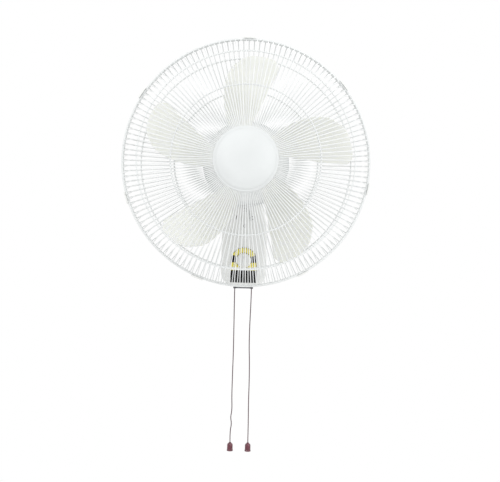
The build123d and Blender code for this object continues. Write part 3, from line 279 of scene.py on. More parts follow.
def addNode(owner, kind, inputs=None, links=None, **settings):
    # a node in a material or world: values for its inputs, and {input: (node, output)} links into them
    node = owner.node_tree.nodes.new(kind)
    for key, value in settings.items():
        setattr(node, key, value)
    for key, value in (inputs or {}).items():
        node.inputs[key].default_value = value
    for key, (source, output) in (links or {}).items():
        owner.node_tree.links.new(source.outputs[output], node.inputs[key])
    return node


def newMaterial(name):
    # a material without nodes yet
    material = bpy.data.materials.new(name)
    material.use_nodes = True
    material.node_tree.nodes.clear()
    return material


def colourRamp(material, source, stops):
    # from one colour to another between two places on the scale of the source's value
    ramp = addNode(material, "ShaderNodeValToRGB", links={"Fac": source})
    for element, (at, colour) in zip(ramp.color_ramp.elements, stops):
        element.position = at
        element.color = linear(colour)
    return ramp


def surfaceFinish(name, tones, roughness, clouds, grain, depth, sockets):
    # two tones mixed in soft clouds, with a roughness that wanders between two values with them, and a
    # bump of fine grain: clouds, grain and depth are sizes in millimetres, sockets the shader's own inputs;
    # real grain is finer than the render shows, so it is drawn coarser, mostly about a millimetre wide
    material = newMaterial(name)
    where = addNode(material, "ShaderNodeTexCoord")
    cloud = addNode(material, "ShaderNodeTexNoise", {"Scale": 1 / (clouds * mm), "Detail": 3.0},
                    {"Vector": (where, "Object")})
    tone = colourRamp(material, (cloud, "Fac"), [(0.3, tones[0]), (0.7, tones[1])])
    gloss = addNode(material, "ShaderNodeMapRange", {"To Min": roughness[0], "To Max": roughness[1]},
                    {"Value": (cloud, "Fac")})
    speck = addNode(material, "ShaderNodeTexNoise", {"Scale": 1 / (grain * mm), "Detail": 4.0},
                    {"Vector": (where, "Object")})
    relief = addNode(material, "ShaderNodeBump", {"Strength": 1.0, "Distance": depth * mm},
                     {"Height": (speck, "Fac")})
    shader = addNode(material, "ShaderNodeBsdfPrincipled", sockets,
                     {"Base Color": (tone, "Color"), "Roughness": (gloss, "Result"),
                      "Normal": (relief, "Normal")})
    addNode(material, "ShaderNodeOutputMaterial", links={"Surface": (shader, 0)})
    return material


# Injection moulded ABS: opaque, with a soft broad shine and a faint spark eroded grain
housingAbs = surfaceFinish("mouldedAbsWhite", ("#e6e7e5", "#eaebe9"), (0.32, 0.42),
                           clouds=35, grain=1.2, depth=0.02, sockets={"IOR": 1.53})
# Satin ABS: the cap's mould is finely blasted, so its shine is wide and even
capAbs = surfaceFinish("satinAbsWhite", ("#dadddd", "#dee1e1"), (0.42, 0.5),
                       clouds=50, grain=1.5, depth=0.012, sockets={"IOR": 1.53, "Specular IOR Level": 0.4})
# Styrene acrylonitrile with a grey tint: slightly see-through, so light spreads inside it
bladeSan = surfaceFinish("tintedSan", ("#e9eae5", "#ecede9"), (0.24, 0.34),
                         clouds=60, grain=3.0, depth=0.012,
                         sockets={"IOR": 1.57, "Specular IOR Level": 0.4, "Subsurface Weight": 0.15,
                                  "Subsurface Radius": (0.004, 0.004, 0.003), "Subsurface Scale": 1.0})
# Powder coat on wire: a thick rounded film with orange peel about 1.5 mm across
wireCoat = surfaceFinish("powderCoatWhite", ("#e5e7e7", "#eaecec"), (0.28, 0.4),
                         clouds=20, grain=1.5, depth=0.03, sockets={"IOR": 1.5})
# White nylon: a little waxy, with a wider shine than the housing
clipNylon = surfaceFinish("mouldedNylonWhite", ("#e9eae8", "#eeefed"), (0.36, 0.46),
                          clouds=15, grain=1.0, depth=0.02, sockets={"IOR": 1.53})
# Black ABS with a polished face: clear small reflections on near black
panelAbs = surfaceFinish("glossAbsBlack", ("#08080a", "#0e0e11"), (0.16, 0.24),
                         clouds=25, grain=2.0, depth=0.01,
                         sockets={"IOR": 1.53, "Specular IOR Level": 0.2})
# Pad printed yellow ink: an even film, a little chalky
scaleInk = surfaceFinish("printedYellow", ("#e6d84e", "#ecdf5e"), (0.42, 0.52),
                         clouds=12, grain=0.8, depth=0.01, sockets={"IOR": 1.5})
# Pad printed dark ink: not quite black, dull
markInk = surfaceFinish("printedCharcoal", ("#2b2b30", "#35353a"), (0.45, 0.55),
                        clouds=8, grain=0.6, depth=0.01, sockets={"IOR": 1.5})
# Dark grey nylon: dull, with soft highlights
guideNylon = surfaceFinish("mouldedNylonCharcoal", ("#4a4b50", "#55565b"), (0.4, 0.5),
                           clouds=10, grain=0.8, depth=0.02, sockets={"IOR": 1.53})
# Urea moulding: hard and dark red, with a thin shine on top
bellPlastic = surfaceFinish("mouldedUreaRed", ("#531727", "#662134"), (0.2, 0.3),
                            clouds=6, grain=0.8, depth=0.02,
                            sockets={"IOR": 1.6, "Coat Weight": 0.25, "Coat Roughness": 0.15})
# Natural nylon: ivory and waxy
innerNylon = surfaceFinish("mouldedNylonIvory", ("#dcdad2", "#e4e2da"), (0.4, 0.5),
                           clouds=12, grain=1.0, depth=0.02, sockets={"IOR": 1.53})
# Phenolic moulding: near black, dull and slightly rough
switchPhenolic = surfaceFinish("mouldedPhenolic", ("#26262a", "#303034"), (0.45, 0.6),
                               clouds=10, grain=0.8, depth=0.04, sockets={"IOR": 1.6})
# Rubber: black and matt
inletRubber = surfaceFinish("mouldedRubber", ("#161617", "#202021"), (0.6, 0.75),
                            clouds=8, grain=0.6, depth=0.04, sockets={"IOR": 1.52})
# Zinc plated sheet steel: cloudy, half bright
zincSteel = surfaceFinish("zincPlatedSteel", ("#b2b5b9", "#bec1c5"), (0.28, 0.44),
                          clouds=9, grain=0.8, depth=0.02, sockets={"Metallic": 1.0})
# Turned and ground steel: bright, with a very fine grain
brightSteel = surfaceFinish("turnedSteel", ("#b4b6ba", "#c9cbce"), (0.18, 0.3),
                            clouds=8, grain=0.4, depth=0.01, sockets={"Metallic": 1.0})
# Die cast alloy: grey and matt, with a pebbled skin
castAlloy = surfaceFinish("dieCastAlloy", ("#9b9da0", "#b3b5b8"), (0.42, 0.58),
                          clouds=10, grain=0.9, depth=0.08, sockets={"Metallic": 1.0})
# Stacked silicon steel sheets: dark and dull at their cut edges
lamination = surfaceFinish("siliconSteelStack", ("#4b4e53", "#5d6066"), (0.4, 0.55),
                           clouds=6, grain=0.5, depth=0.05, sockets={"Metallic": 1.0})
# Enamelled copper wire: red brown metal under a clear film, uneven as wound wire is
windingCopper = surfaceFinish("enamelledCopper", ("#8a4520", "#b0622f"), (0.25, 0.4),
                              clouds=3, grain=0.7, depth=0.15, sockets={"Metallic": 0.8})

# Twisted polyester cord: slanted ribs with painted shade darkening each groove between them, dyed a little
# unevenly
twist = {"ribPitch": 1.6, "ribDepth": 0.15, "dyePatch": 25.0, "paintedGrooveShade": 0.35,
         "darkest": (0.35, "#40282d"), "palest": (0.95, "#5f4047")}


def twistedCord(name, c):
    # the wave texture's ribs lie 0.628 over its scale apart; shade = ribs * paintedGrooveShade + dye, where
    # the ribs paint shade into each groove and the noise is the uneven dye
    material = newMaterial(name)
    where = addNode(material, "ShaderNodeTexCoord")
    dye = addNode(material, "ShaderNodeTexNoise", {"Scale": 1 / (c["dyePatch"] * mm), "Detail": 3.0},
                  {"Vector": (where, "Object")})
    ribs = addNode(material, "ShaderNodeTexWave",
                   {"Scale": 0.628 / (c["ribPitch"] * mm), "Distortion": 0.6},
                   {"Vector": (where, "Object")}, bands_direction="DIAGONAL")
    # painted shade: the rib pattern darkens the colour in each groove between the ribs
    shade = addNode(material, "ShaderNodeMath", {1: c["paintedGrooveShade"]}, {0: (ribs, "Fac"), 2: (dye, "Fac")},
                    operation="MULTIPLY_ADD")
    tone = colourRamp(material, (shade, "Value"), [c["darkest"], c["palest"]])
    relief = addNode(material, "ShaderNodeBump", {"Strength": 1.0, "Distance": c["ribDepth"] * mm},
                     {"Height": (ribs, "Fac")})
    shader = addNode(material, "ShaderNodeBsdfPrincipled",
                     {"Roughness": 0.75, "Specular IOR Level": 0.25, "Sheen Weight": 0.1},
                     {"Base Color": (tone, "Color"), "Normal": (relief, "Normal")})
    addNode(material, "ShaderNodeOutputMaterial", links={"Surface": (shader, 0)})
    return material


pullCord = twistedCord("twistedPolyesterCord", twist)
print("materials made")

# Camera at the photograph's angle: level, a little to the right of the fan axis, rolled by a degree and a
# half; its place is in metres, lens and sensor in millimetres
camera = {"spot": (0.0124, -1.93, 0.0), "roll": 1.55, "lens": 60.98, "sensor": 36.0}


def makeCamera(c):
    # level and facing the wall, then rolled about its line of sight
    data = bpy.data.cameras.new("camera")
    data.lens = c["lens"]
    data.sensor_width = c["sensor"]
    eye = bpy.data.objects.new("camera", data)
    eye.matrix_world = (Matrix.Translation(c["spot"]) @ Matrix.Rotation(math.radians(90), 4, "X")
                        @ Matrix.Rotation(math.radians(c["roll"]), 4, "Z"))
    bpy.context.scene.collection.objects.link(eye)
    bpy.context.scene.camera = eye


makeCamera(camera)

# Pull cords, with the route points of the CAD tubes: x and y beside each cord's upright line, and height
cords = {"radius": 1.0, "y": -62.0}
pulls = {"speed": {"x": -18.5, "length": 378.0,
                   "route": [(0.0, 0.0, -70.0), (0.0, 0.0, -128.0), (0.5, 0.0, -184.0), (0.9, 0.1, -240.0),
                             (0.3, -0.2, -294.0), (-0.1, 0.0, -342.0), (1.4, 0.2, -374.0),
                             (-1.6, 0.0, -389.0), (1.2, -0.3, -404.0), (-2.0, 0.0, -421.0),
                             (-1.2, 0.0, -447.5)]},
         "swing": {"x": 18.5, "length": 377.6,
                   "route": [(0.0, 0.0, -70.0), (0.0, 0.0, -126.0), (-1.6, 0.2, -180.0),
                             (-1.9, 0.1, -232.0), (-0.2, -0.2, -262.0), (0.6, 0.0, -310.0),
                             (0.1, 0.2, -356.0), (1.0, 0.0, -406.0), (1.0, 0.0, -447.5)]}}


def makeCord(name, x, route):
    # a round section along a quadratic NURBS curve that the route points steer
    points = (np.array(route) + (x, cords["y"], 0)) * mm
    curve = bpy.data.curves.new(name, "CURVE")
    curve.dimensions = "3D"
    curve.bevel_depth = cords["radius"] * mm
    curve.bevel_resolution = 3
    curve.resolution_u = 12
    curve.use_fill_caps = True
    spline = curve.splines.new("NURBS")
    spline.points.add(len(points) - 1)
    spline.points.foreach_set("co", np.column_stack([points, np.ones(len(points))]).ravel())
    spline.order_u = 3
    spline.use_endpoint_u = True
    cord = bpy.data.objects.new(name, curve)
    bpy.context.scene.collection.objects.link(cord)
    return cord, points[0]


# Bell pulls: turned, with a collar, a rounded shoulder and a bead at the mouth, hollow below; the profile
# is (radius, depth below the top, corner radius)
bell = {"top": -444.5,
        "profile": [(0, 1.6, 0), (1.05, 0.4, 0.3), (1.45, 0, 0.3), (2.6, 0, 0.6), (2.9, 1.6, 0.8),
                    (5.2, 2.8, 2.0), (6.2, 5.6, 4.0), (6.3, 15.6, 0.8), (6.8, 16.6, 0.8), (6.8, 19.0, 0.8),
                    (4.6, 19.0, 0.6), (4.1, 10.0, 1.2), (0, 10.0, 0)]}


def makeBell(name, x):
    # the profile turned about the cord's line
    profile = roundedPath([(r, bell["top"] - depth, corner) for r, depth, corner in bell["profile"]], 9)
    return newPiece(name, latheZ(name, profile * mm, x * mm, cords["y"] * mm, closed=False), 50)


for name, pull in pulls.items():
    cordPiece, cordExit = makeCord(name + "PullCord", pull["x"], pull["route"])
    bellPiece = makeBell(name + "BellPull", pull["x"] + pull["route"][-1][0])
    place(cordPiece, name + "_line", "cord_fabric", pullCord, name + "_cord")
    place(bellPiece, name + "_line", "bell_plastic", bellPlastic, name + "_pull")
print("camera and pull cords made")

# Guard: each wire is (radius, depth, corner radius) from rim to middle, and depths are measured from the
# plane between the rims, outwards on both sides; wire and ring are the radii of their round sections
guard = {"wire": 1.0, "wireSides": 6, "ring": 1.5, "ringSides": 12, "ringSteps": 192, "count": 140,
         "front": [(247.0, 5.15, 0), (224.0, 55.0, 18.0), (62.0, 78.5, 0)],
         "rear": [(247.0, 5.15, 0), (228.0, 22.0, 18.0), (84.0, 29.0, 0)],
         "ringRadii": (213.0, 146.0), "hubRing": 62.0}
guardSides = [("front", -1, 0.5), ("rear", 1, 0.0)]     # facing along y, first wire as a share of the pitch
# The rim wire's section radius, and the radius and depth of the circle that its middle follows
rimRound = (frontRimHigh.y - frontRimLow.y) / 2 / mm
rimRadius = (frontRimHigh.x - frontRimLow.x) / 2 / mm - rimRound
rimDepth = (partingY - frontRimLow.y) / mm - rimRound


def wireBundle(corners, facing, start):
    # a circle square to the wire's line is carried along it, and the wire is repeated about the fan axis;
    # doubled end points without thickness close the ends
    line = roundedPath(corners, 8)
    along = np.gradient(line, axis=0)
    along /= np.linalg.norm(along, axis=1)[:, None]
    line, along = (np.concatenate([row[:1], row, row[-1:]]) for row in (line, along))
    thick = np.full((len(line), 1), guard["wire"])
    thick[[0, -1]] = 0
    turn = np.linspace(0, 2 * math.pi, guard["wireSides"], endpoint=False)
    radius = line[:, 0, None] - along[:, 1, None] * np.cos(turn) * thick
    depth = line[:, 1, None] + along[:, 0, None] * np.cos(turn) * thick
    aside = np.sin(turn) * thick
    angle = np.radians((np.arange(guard["count"]) + start) * 360 / guard["count"])[:, None, None]
    sine, cosine = np.sin(angle), np.cos(angle)
    points = np.stack([(radius * sine + aside * cosine) * mm,
                       np.broadcast_to(partingY + facing * depth * mm, (guard["count"], *depth.shape)),
                       axisZ + (radius * cosine - aside * sine) * mm], -1)
    count, rows, columns = points.shape[:3]
    first = np.arange(count)[:, None, None] * rows * columns
    quads = gridQuads(rows, columns, closeColumns=True) + first
    return quadMesh("wires", points.reshape(-1, 3), quads.reshape(-1, 4))


def ringMesh(radius, depth, thick, facing):
    # a torus: a circle of the wire's radius carried round the fan axis
    turn = np.linspace(0, 2 * math.pi, guard["ringSides"], endpoint=False)
    profile = np.stack([radius + thick * np.cos(turn),
                        partingY / mm + facing * depth + thick * np.sin(turn)], -1)
    return latheY("ring", profile * mm, steps=guard["ringSteps"])


def seatedDepth(corners, radius):
    # depth of a ring on the inner side of the wires at one radius: the wire's depth there, less both
    # section radii measured square to the wire
    (r0, d0), (r1, d1) = np.array(corners)[1:, :2]
    slope = (d1 - d0) / (r1 - r0)
    inward = guard["wire"] + guard["ring"]
    return d0 + (radius - r0) * slope - inward * math.hypot(1, slope)


for side, facing, start in guardSides:
    wires = wireBundle(guard[side], facing, start)
    place(newPiece(side + "GuardWires", wires, 60), "head", "guard_paint", wireCoat, side + "_guard_wires")
for side, facing, start in guardSides:
    rings = [ringMesh(r, seatedDepth(guard[side], r), guard["ring"], facing) for r in guard["ringRadii"]]
    if side == "front":
        rings.append(ringMesh(guard["hubRing"], guard["front"][-1][1], guard["ring"], facing))
    piece = newPiece(side + "GuardRings", joinMeshes("rings", rings), 60)
    place(piece, "head", "guard_paint", wireCoat, side + "_guard_rings")
for side, facing, start in guardSides:
    piece = newPiece(side + "Rim", ringMesh(rimRadius, rimDepth, rimRound, facing), 60)
    place(piece, "head", "guard_paint", wireCoat, side + "_rim")
print("guard made")

# Clips: short strips bent over the two rims
clip = {"count": 7, "pitch": 50.4, "width": 24.0, "wall": 2.1, "lip": 248.8, "top": 251.1, "side": 6.3,
        "bend": 1.6, "edge": 0.5}


def makeClips(c):
    # the wall's middle line in (r, depth), carried along a short arc of the rim
    section = roundedPath([(c["lip"], -c["side"], 0), (c["top"], -c["side"], c["bend"]),
                           (c["top"], c["side"], c["bend"]), (c["lip"], c["side"], 0)], 5)
    half = c["width"] / 2 / c["top"]
    angles = np.linspace(-half, half, 9)[:, None]
    meshes = []
    for k in range(c["count"]):
        sweep = angles + math.radians(k * c["pitch"])
        points = np.stack([section[:, 0] * np.sin(sweep) * mm,
                           np.broadcast_to(partingY + section[:, 1] * mm, (len(sweep), len(section))),
                           axisZ + section[:, 0] * np.cos(sweep) * mm], -1)
        meshes.append(gridMesh("clip", points))
    return addWall(newPiece("guardClips", joinMeshes("guardClips", meshes), 60), c["wall"], c["edge"])


place(makeClips(clip), "head", "clip_plastic", clipNylon, "guard_clips")

# Cap: a shallow dome with a rolled edge and a flange; face, edge and seat are depths in front of the
# plane between the rims
cap = {"face": 96.0, "dome": 42.0, "drop": 4.0, "shoulder": 56.6, "edge": 86.0, "radius": 60.6,
       "flange": 62.6, "seat": 80.0, "wall": 2.2}


def makeCap(c):
    # (radius, y, corner radius) from the middle over the outside to the flange and back inside
    face, edge, seat = (partingY / mm - c[depth] for depth in ("face", "edge", "seat"))
    w = c["wall"]
    outline = [(0, face, 0), (c["dome"], face + c["drop"], 90), (c["shoulder"], edge, 12),
               (c["radius"], seat - w, 3.0), (c["flange"], seat - w, 0.9), (c["flange"], seat, 0.6),
               (c["radius"] - w, seat, 0.8), (c["shoulder"] - w, edge + w, 5),
               (c["dome"], face + c["drop"] + w, 4), (0, face + c["drop"] + w, 0)]
    profile = roundedPath(outline, 14)
    return newPiece("guardCap", latheY("guardCap", profile * mm, steps=128, closed=False), 50)


place(makeCap(cap), "head", "cap_plastic", capAbs, "guard_cap")

# Rear plate: pressed sheet with two beads, held by the ring nut; its back face as far as the flat's end is
# (radius, depth in front of the back, corner radius)
plate = {"sheet": 1.6, "radius": 88.0,
         "flat": [(20.2, 0, 0), (40, 0, 4), (43, 1.4, 4), (50, 1.4, 4), (53, 0, 4),
                  (62, 0, 4), (65, 1.4, 4), (70, 1.4, 4), (76, 0, 6)]}


def makePlate(c):
    # the back face's line, and the same line moved forward by the sheet, turned about the fan axis
    low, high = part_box("rear_guard_plate")
    rim = (c["radius"], low.y / mm + c["sheet"], 0)
    line = roundedPath([(r, high.y / mm - depth, corner) for r, depth, corner in c["flat"]] + [rim], 5)
    outline = np.concatenate([line, line[::-1] - (0, c["sheet"])])
    return newPiece("rearGuardPlate", latheY("rearGuardPlate", outline * mm), 50)


place(makePlate(plate), "head", "guard_paint", wireCoat, "rear_guard_plate")
print("clips, cap and rear plate made")

# Blades: one moulding; the outline as seen from the front, u to the right and v along the blade
blades = {"count": 5, "phase": 6.5, "thick": 2.4, "edge": 0.9, "rows": 56, "columns": 24,
          "rootPitch": 36.0, "tipPitch": 24.0, "camber": 6.0, "hub": 38.0, "tip": 214.5, "halfChord": 75.0,
          "offset": 12.0, "axisDepth": 15.0,
          "left": [(-20, 31), (-31, 45), (-42, 63), (-56.5, 100), (-61.5, 140.5), (-56, 174.5),
                   (-38, 199.5)],
          "end": [(-38, 199.5), (-24, 208.5), (-8, 213.3), (18, 214.5), (30, 211.5), (36.5, 203.5)],
          "right": [(-6, 34), (-3.5, 54), (0, 74), (12, 112), (28, 161), (38.2, 193), (36.5, 203.5)]}
bladeAngles = np.radians(blades["phase"] + 360 / blades["count"] * np.arange(blades["count"]))


def makeBlades(c):
    # Coons patch between the four outline curves; depth = rise of the pitched chord + camber, a parabola
    # across the chord
    rows, columns = c["rows"], c["columns"]
    left, right = smoothCurve(c["left"], rows), smoothCurve(c["right"], rows)
    root = np.linspace(left[0], right[0], columns)
    end = smoothCurve(c["end"], columns)
    s = np.linspace(0, 1, columns)[None, :, None]
    t = np.linspace(0, 1, rows)[:, None, None]
    sides = (1 - s) * left[:, None] + s * right[:, None]
    ends = (1 - t) * root[None] + t * end[None]
    corners = (1 - t) * ((1 - s) * root[0] + s * root[-1]) + t * ((1 - s) * end[0] + s * end[-1])
    flat = sides + ends - corners
    u, v = flat[..., 0], flat[..., 1]
    share = (v - c["hub"]) / (c["tip"] - c["hub"])
    pitch = np.radians(c["rootPitch"] + share * (c["tipPitch"] - c["rootPitch"]))
    chord = (u + c["offset"]) / np.cos(pitch)
    camber = c["camber"] * (1 - (chord / c["halfChord"]) ** 2) / np.cos(pitch)
    height = (u + c["offset"]) * np.tan(pitch) + camber
    one = np.stack([u * mm, partingY - c["axisDepth"] * mm + height * mm, axisZ + v * mm], -1)
    meshes = [gridMesh("blade", aroundAxis(one, angle)) for angle in bladeAngles]
    return addWall(newPiece("fanBlades", joinMeshes("fanBlades", meshes), 60), c["thick"], c["edge"], 3)


# Hub: a cup with a rounded nose, a boss on the shaft and five ribs; depths from the plane between the rims
hub = {"front": 46.0, "rear": -11.0, "wall": 2.6, "nose": 6.0, "innerNose": 7.0, "boss": 11.0, "bore": 5.1,
       "bossBack": 14.0, "rib": 2.2, "ribSunk": 1.0, "ribShort": 4.0}


def makeHub(c, r):
    # (radius, y, corner radius) round the wall, with a box for each rib
    front, rear, w = partingY / mm - c["front"], partingY / mm - c["rear"], c["wall"]
    bossEnd = rear - c["bossBack"]
    outline = [(c["bore"], front, 0.4), (r - c["nose"], front, 5), (r, front + c["nose"], 5),
               (r, rear, 0.8), (r - w, rear, 0.8), (r - w, front + c["innerNose"], 4),
               (r - c["innerNose"], front + w, 4), (c["boss"], front + w, 2), (c["boss"], bossEnd, 0.8),
               (c["bore"], bossEnd, 0.4)]
    meshes = [latheY("hub", roundedPath(outline, 6, closed=True) * mm)]
    rib = boxCorners((-c["rib"] / 2, front + c["ribSunk"], c["boss"] - c["ribSunk"]),
                     (c["rib"] / 2, bossEnd - c["ribShort"], r - w / 2)) + (0, 0, axisZ)
    meshes += [quadMesh("rib", aroundAxis(rib, angle), boxQuads) for angle in bladeAngles]
    return newPiece("fanHub", joinMeshes("fanHub", meshes), 40)


place(makeBlades(blades), "rotor", "blade_plastic", bladeSan, "fan_blades")
place(makeHub(hub, blades["hub"]), "rotor", "blade_plastic", bladeSan, "fan_blades")
print("blades and hub made")

# Motor housing: two smooth bells, the rear one with a row of vents in its end and a hole for the neck;
# split, tailSplit, tailEnd and neckDepth are depths in front of the wall
motor = {"radius": 80.0, "wall": 2.5, "split": 160.0, "thread": 20.3, "nose": 5.0, "innerNose": 5.5,
         "straight": 16.0, "shoulder": 26.0, "shoulderDrop": 4.0, "slopeDrop": 15.0, "step": 6.0,
         "tail": 52.0, "tailFlare": 2.0, "tailSplit": 118.0, "tailEnd": 56.0, "tailRound": 18.0,
         "neckDepth": 110.0, "neckHole": 22.0, "holeFoot": 76.0, "holeTop": 131.0}
vents = {"count": 7, "pitch": 8.0, "half": 20.0, "shorter": 3.0, "width": 3.0, "inside": 6.0,
         "outside": 3.0}


def makeMotorFront(c):
    # (radius, y, corner radius) round the wall
    y, r, w = frontFace("motor_front_cover"), c["radius"], c["wall"]
    outline = [(c["thread"], y, 0.4), (r - c["nose"], y, 6), (r, y + c["nose"], 6), (r, -c["split"], 0.6),
               (r - w, -c["split"], 0.3), (r - w, y + c["innerNose"], 5), (r - c["innerNose"], y + w, 5),
               (c["thread"], y + w, 0.4)]
    profile = roundedPath(outline, 7, closed=True)
    return newPiece("motorFrontCover", latheY("motorFrontCover", profile * mm, steps=128), 40)


def makeMotorRear(c, v):
    # a line from the open edge to the closed end, outside and, moved in by the wall, inside; then the
    # vents and the neck's hole are cut
    def sideLine(inset):
        r, t, end = c["radius"] - inset, c["tail"] - inset, -c["tailEnd"] - inset
        split, tailSplit = -c["split"], -c["tailSplit"]
        corners = [(r, split, 0), (r, split + c["straight"], 20),
                   (r - c["shoulderDrop"], split + c["shoulder"], 18),
                   (r - c["slopeDrop"], tailSplit - c["step"], 14), (t + c["tailFlare"], tailSplit, 8),
                   (t, tailSplit + c["step"], 12), (t, end + inset - c["tailRound"], 14),
                   (t - c["tailRound"], end, 14), (0, end, 0)]
        return roundedPath(corners, 8)
    outline = np.concatenate([sideLine(0), sideLine(c["wall"])[::-1]])
    shell = newPiece("motorRearCover", latheY("motorRearCover", outline * mm, steps=128), 40)
    cutters = []
    for k in range(v["count"]):
        row = k - v["count"] // 2
        half = v["half"] - abs(row) * v["shorter"]
        z = axisZ / mm + row * v["pitch"]
        cutters.append(boxMesh((-half, -c["tailEnd"] - v["inside"], z - v["width"] / 2),
                               (half, -c["tailEnd"] + v["outside"], z + v["width"] / 2)))
    hole = np.array([(0, c["holeFoot"]), (c["neckHole"], c["holeFoot"]), (c["neckHole"], c["holeTop"]),
                     (0, c["holeTop"])])
    cutters.append(latheZ("hole", hole * mm, 0, -c["neckDepth"] * mm, closed=False))
    return cutAway(shell, newPiece("cutters", joinMeshes("cutters", cutters)))


place(makeMotorFront(motor), "head", "housing_plastic", housingAbs, "motor_front_cover")
place(makeMotorRear(motor, vents), "head", "housing_plastic", housingAbs, "motor_rear_cover")
print("motor housing made")

# Base: copies of CAD nodes, with the width that their edges are rounded by
for name, node, edgeWidth, slot, material in (
        ("baseFrontShell", "front_cover", 0, "housing_plastic", housingAbs),
        ("baseRearShell", "rear_cover", 0, "housing_plastic", housingAbs),
        ("supportArm", "support_arm", 0.8, "housing_plastic", housingAbs),
        ("controlPanel", "control_panel", 0.3, "panel_plastic", panelAbs),
        ("cordGuide", "cord_guide", 0.4, "guide_plastic", guideNylon)):
    place(cadCopy(name, node, edgeWidth), "base", slot, material, node)
panelFace = frontFace("control_panel")
stripFace = frontFace("scale_strips")
coverFace = frontFace("front_cover")

# Knob: a skirt, a tapered body with a soft rim, and a grip ridge with a marker line
knob = {"z": -42.8, "gap": 0.3, "skirt": 16.0, "skirtHeight": 3.2, "body": 14.2, "bodyFoot": 4.4,
        "top": 13.0, "height": 13.0, "ridge": 5.0, "ridgeHalf": 2.6, "ridgeLength": 12.2, "ridgeSunk": 0.5,
        "ridgeEdge": 1.2}
knobBack = panelFace - knob["gap"]
knobFront = knobBack - knob["height"]


def roundedBar(halfX, halfZ, front, back, edge, z):
    # a bar along y: rings of a rectangle with corners of nearly its narrower half, that draw in over the
    # edge radius and close at the front; shrink = edge * (1 - cos t) where depth = edge * (1 - sin t)
    corner = min(halfX, halfZ) * 0.95
    outline = roundedPath([(-halfX, -halfZ, corner), (halfX, -halfZ, corner), (halfX, halfZ, corner),
                           (-halfX, halfZ, corner)], 8, closed=True)
    turn = np.linspace(0, math.pi / 2, 6)
    depth = np.concatenate([[back], front + edge * (1 - np.sin(turn)), [front]])
    shrink = np.concatenate([[0], edge * (1 - np.cos(turn)), [min(halfX, halfZ)]])
    ring = outline * np.maximum(1 - shrink[:, None, None] / np.array([halfX, halfZ]), 0)
    depths = np.broadcast_to(depth[:, None], ring.shape[:2])
    return gridMesh("bar", np.stack([ring[..., 0], depths, z + ring[..., 1]], -1) * mm, closeColumns=True)


def makeKnob(c):
    # (radius, y, corner radius) of skirt and body, and a ridge across the front
    outline = [(0, knobBack, 0), (c["skirt"], knobBack, 0.5),
               (c["skirt"], knobBack - c["skirtHeight"], 1.2), (c["body"], knobBack - c["bodyFoot"], 1.5),
               (c["top"], knobFront, 1.8), (0, knobFront, 0)]
    disc = latheY("knob", roundedPath(outline, 6) * mm, c["z"] * mm, closed=False)
    ridge = roundedBar(c["ridgeHalf"], c["ridgeLength"], knobFront - c["ridge"],
                       knobFront + c["ridgeSunk"], c["ridgeEdge"], c["z"])
    return newPiece("controlKnob", joinMeshes("controlKnob", [disc, ridge]), 50)


place(makeKnob(knob), "knob", "knob_plastic", housingAbs, "control_knob")


def printedLine(name, body, face, line):
    # a dark line on a face: its limits in x and z, and how far it stands up from the face and sinks in
    (left, right), (foot, top) = line["x"], line["z"]
    mesh = boxMesh((left, face - line["lift"], foot), (right, face + line["sunk"], top))
    place(newPiece(name, mesh), body, "panel_plastic", markInk)


knobLine = {"x": (-0.5, 0.5), "z": (knob["z"] + 4, knob["z"] + 11), "lift": 0.15, "sunk": 0.3}
printedLine("knobMarker", "knob", knobFront - knob["ridge"], knobLine)

# Scale: a yellow arch over the knob and a yellow band below it, with plain ticks on the arch
scale = {"archInner": 17.0, "archOuter": 27.3, "archHalf": 64.0, "bandHalf": 27.3, "bandTop": -47.5,
         "bandFoot": -64.5, "knobClear": 16.6, "edge": 0.15}
tick = {"count": 7, "spread": 45.0, "inner": 23.8, "outer": 26.0, "width": 0.5, "lift": 0.04}
inkFilm = 0.03     # thickness of a printed mark


def makeStrips(c):
    # two flat sheets: an arc strip, and a band whose upper edge dips round the knob
    middle = (stripFace + panelFace) / 2
    sweep = np.radians(np.linspace(-1, 1, 65) * c["archHalf"])
    r, angle = np.meshgrid([c["archInner"], c["archOuter"]], sweep)
    arch = np.stack([r * np.sin(angle), np.full_like(r, middle), knob["z"] + r * np.cos(angle)], -1)
    x = np.linspace(-c["bandHalf"], c["bandHalf"], 97)
    dip = knob["z"] - np.sqrt(np.maximum(c["knobClear"] ** 2 - x ** 2, 0))
    top = np.where(np.abs(x) < c["knobClear"], np.minimum(dip, c["bandTop"]), c["bandTop"])
    edges = np.stack([np.full_like(x, c["bandFoot"]), top], -1)
    band = np.stack([np.repeat(x[:, None], 2, 1), np.full_like(edges, middle), edges], -1)
    strips = joinMeshes("strips", [gridMesh("arch", arch * mm), gridMesh("band", band * mm)])
    return addWall(newPiece("scaleStrips", strips), panelFace - stripFace, c["edge"])


def makeTicks(c):
    # thin bars that point at the knob's axis: a point r from it and aside from the bar's middle line
    angles = np.radians(np.linspace(-c["spread"], c["spread"], c["count"]))[:, None]
    r = np.array([c["inner"], c["outer"], c["outer"], c["inner"]])
    aside = np.array([-1, -1, 1, 1]) * c["width"] / 2
    x = r * np.sin(angles) + aside * np.cos(angles)
    z = knob["z"] + r * np.cos(angles) - aside * np.sin(angles)
    points = np.stack([x, np.full_like(x, stripFace - c["lift"]), z], -1).reshape(-1, 3) * mm
    mesh = quadMesh("ticks", points, np.arange(len(points)).reshape(-1, 4))
    return addWall(newPiece("scaleTicks", mesh, outward=False), inkFilm)


place(makeStrips(scale), "base", "scale_yellow", scaleInk, "scale_strips")
place(makeTicks(tick), "base", "panel_plastic", markInk)

# Dial: a disc with a dark line along its pointer, in a ring of plain numerals on the cover, with a plain
# bar beside it
dial = {"z": 50.0, "numeralRadius": 18.0, "size": 11.5, "stroke": 0.3, "lift": 0.06, "edge": 0.3}


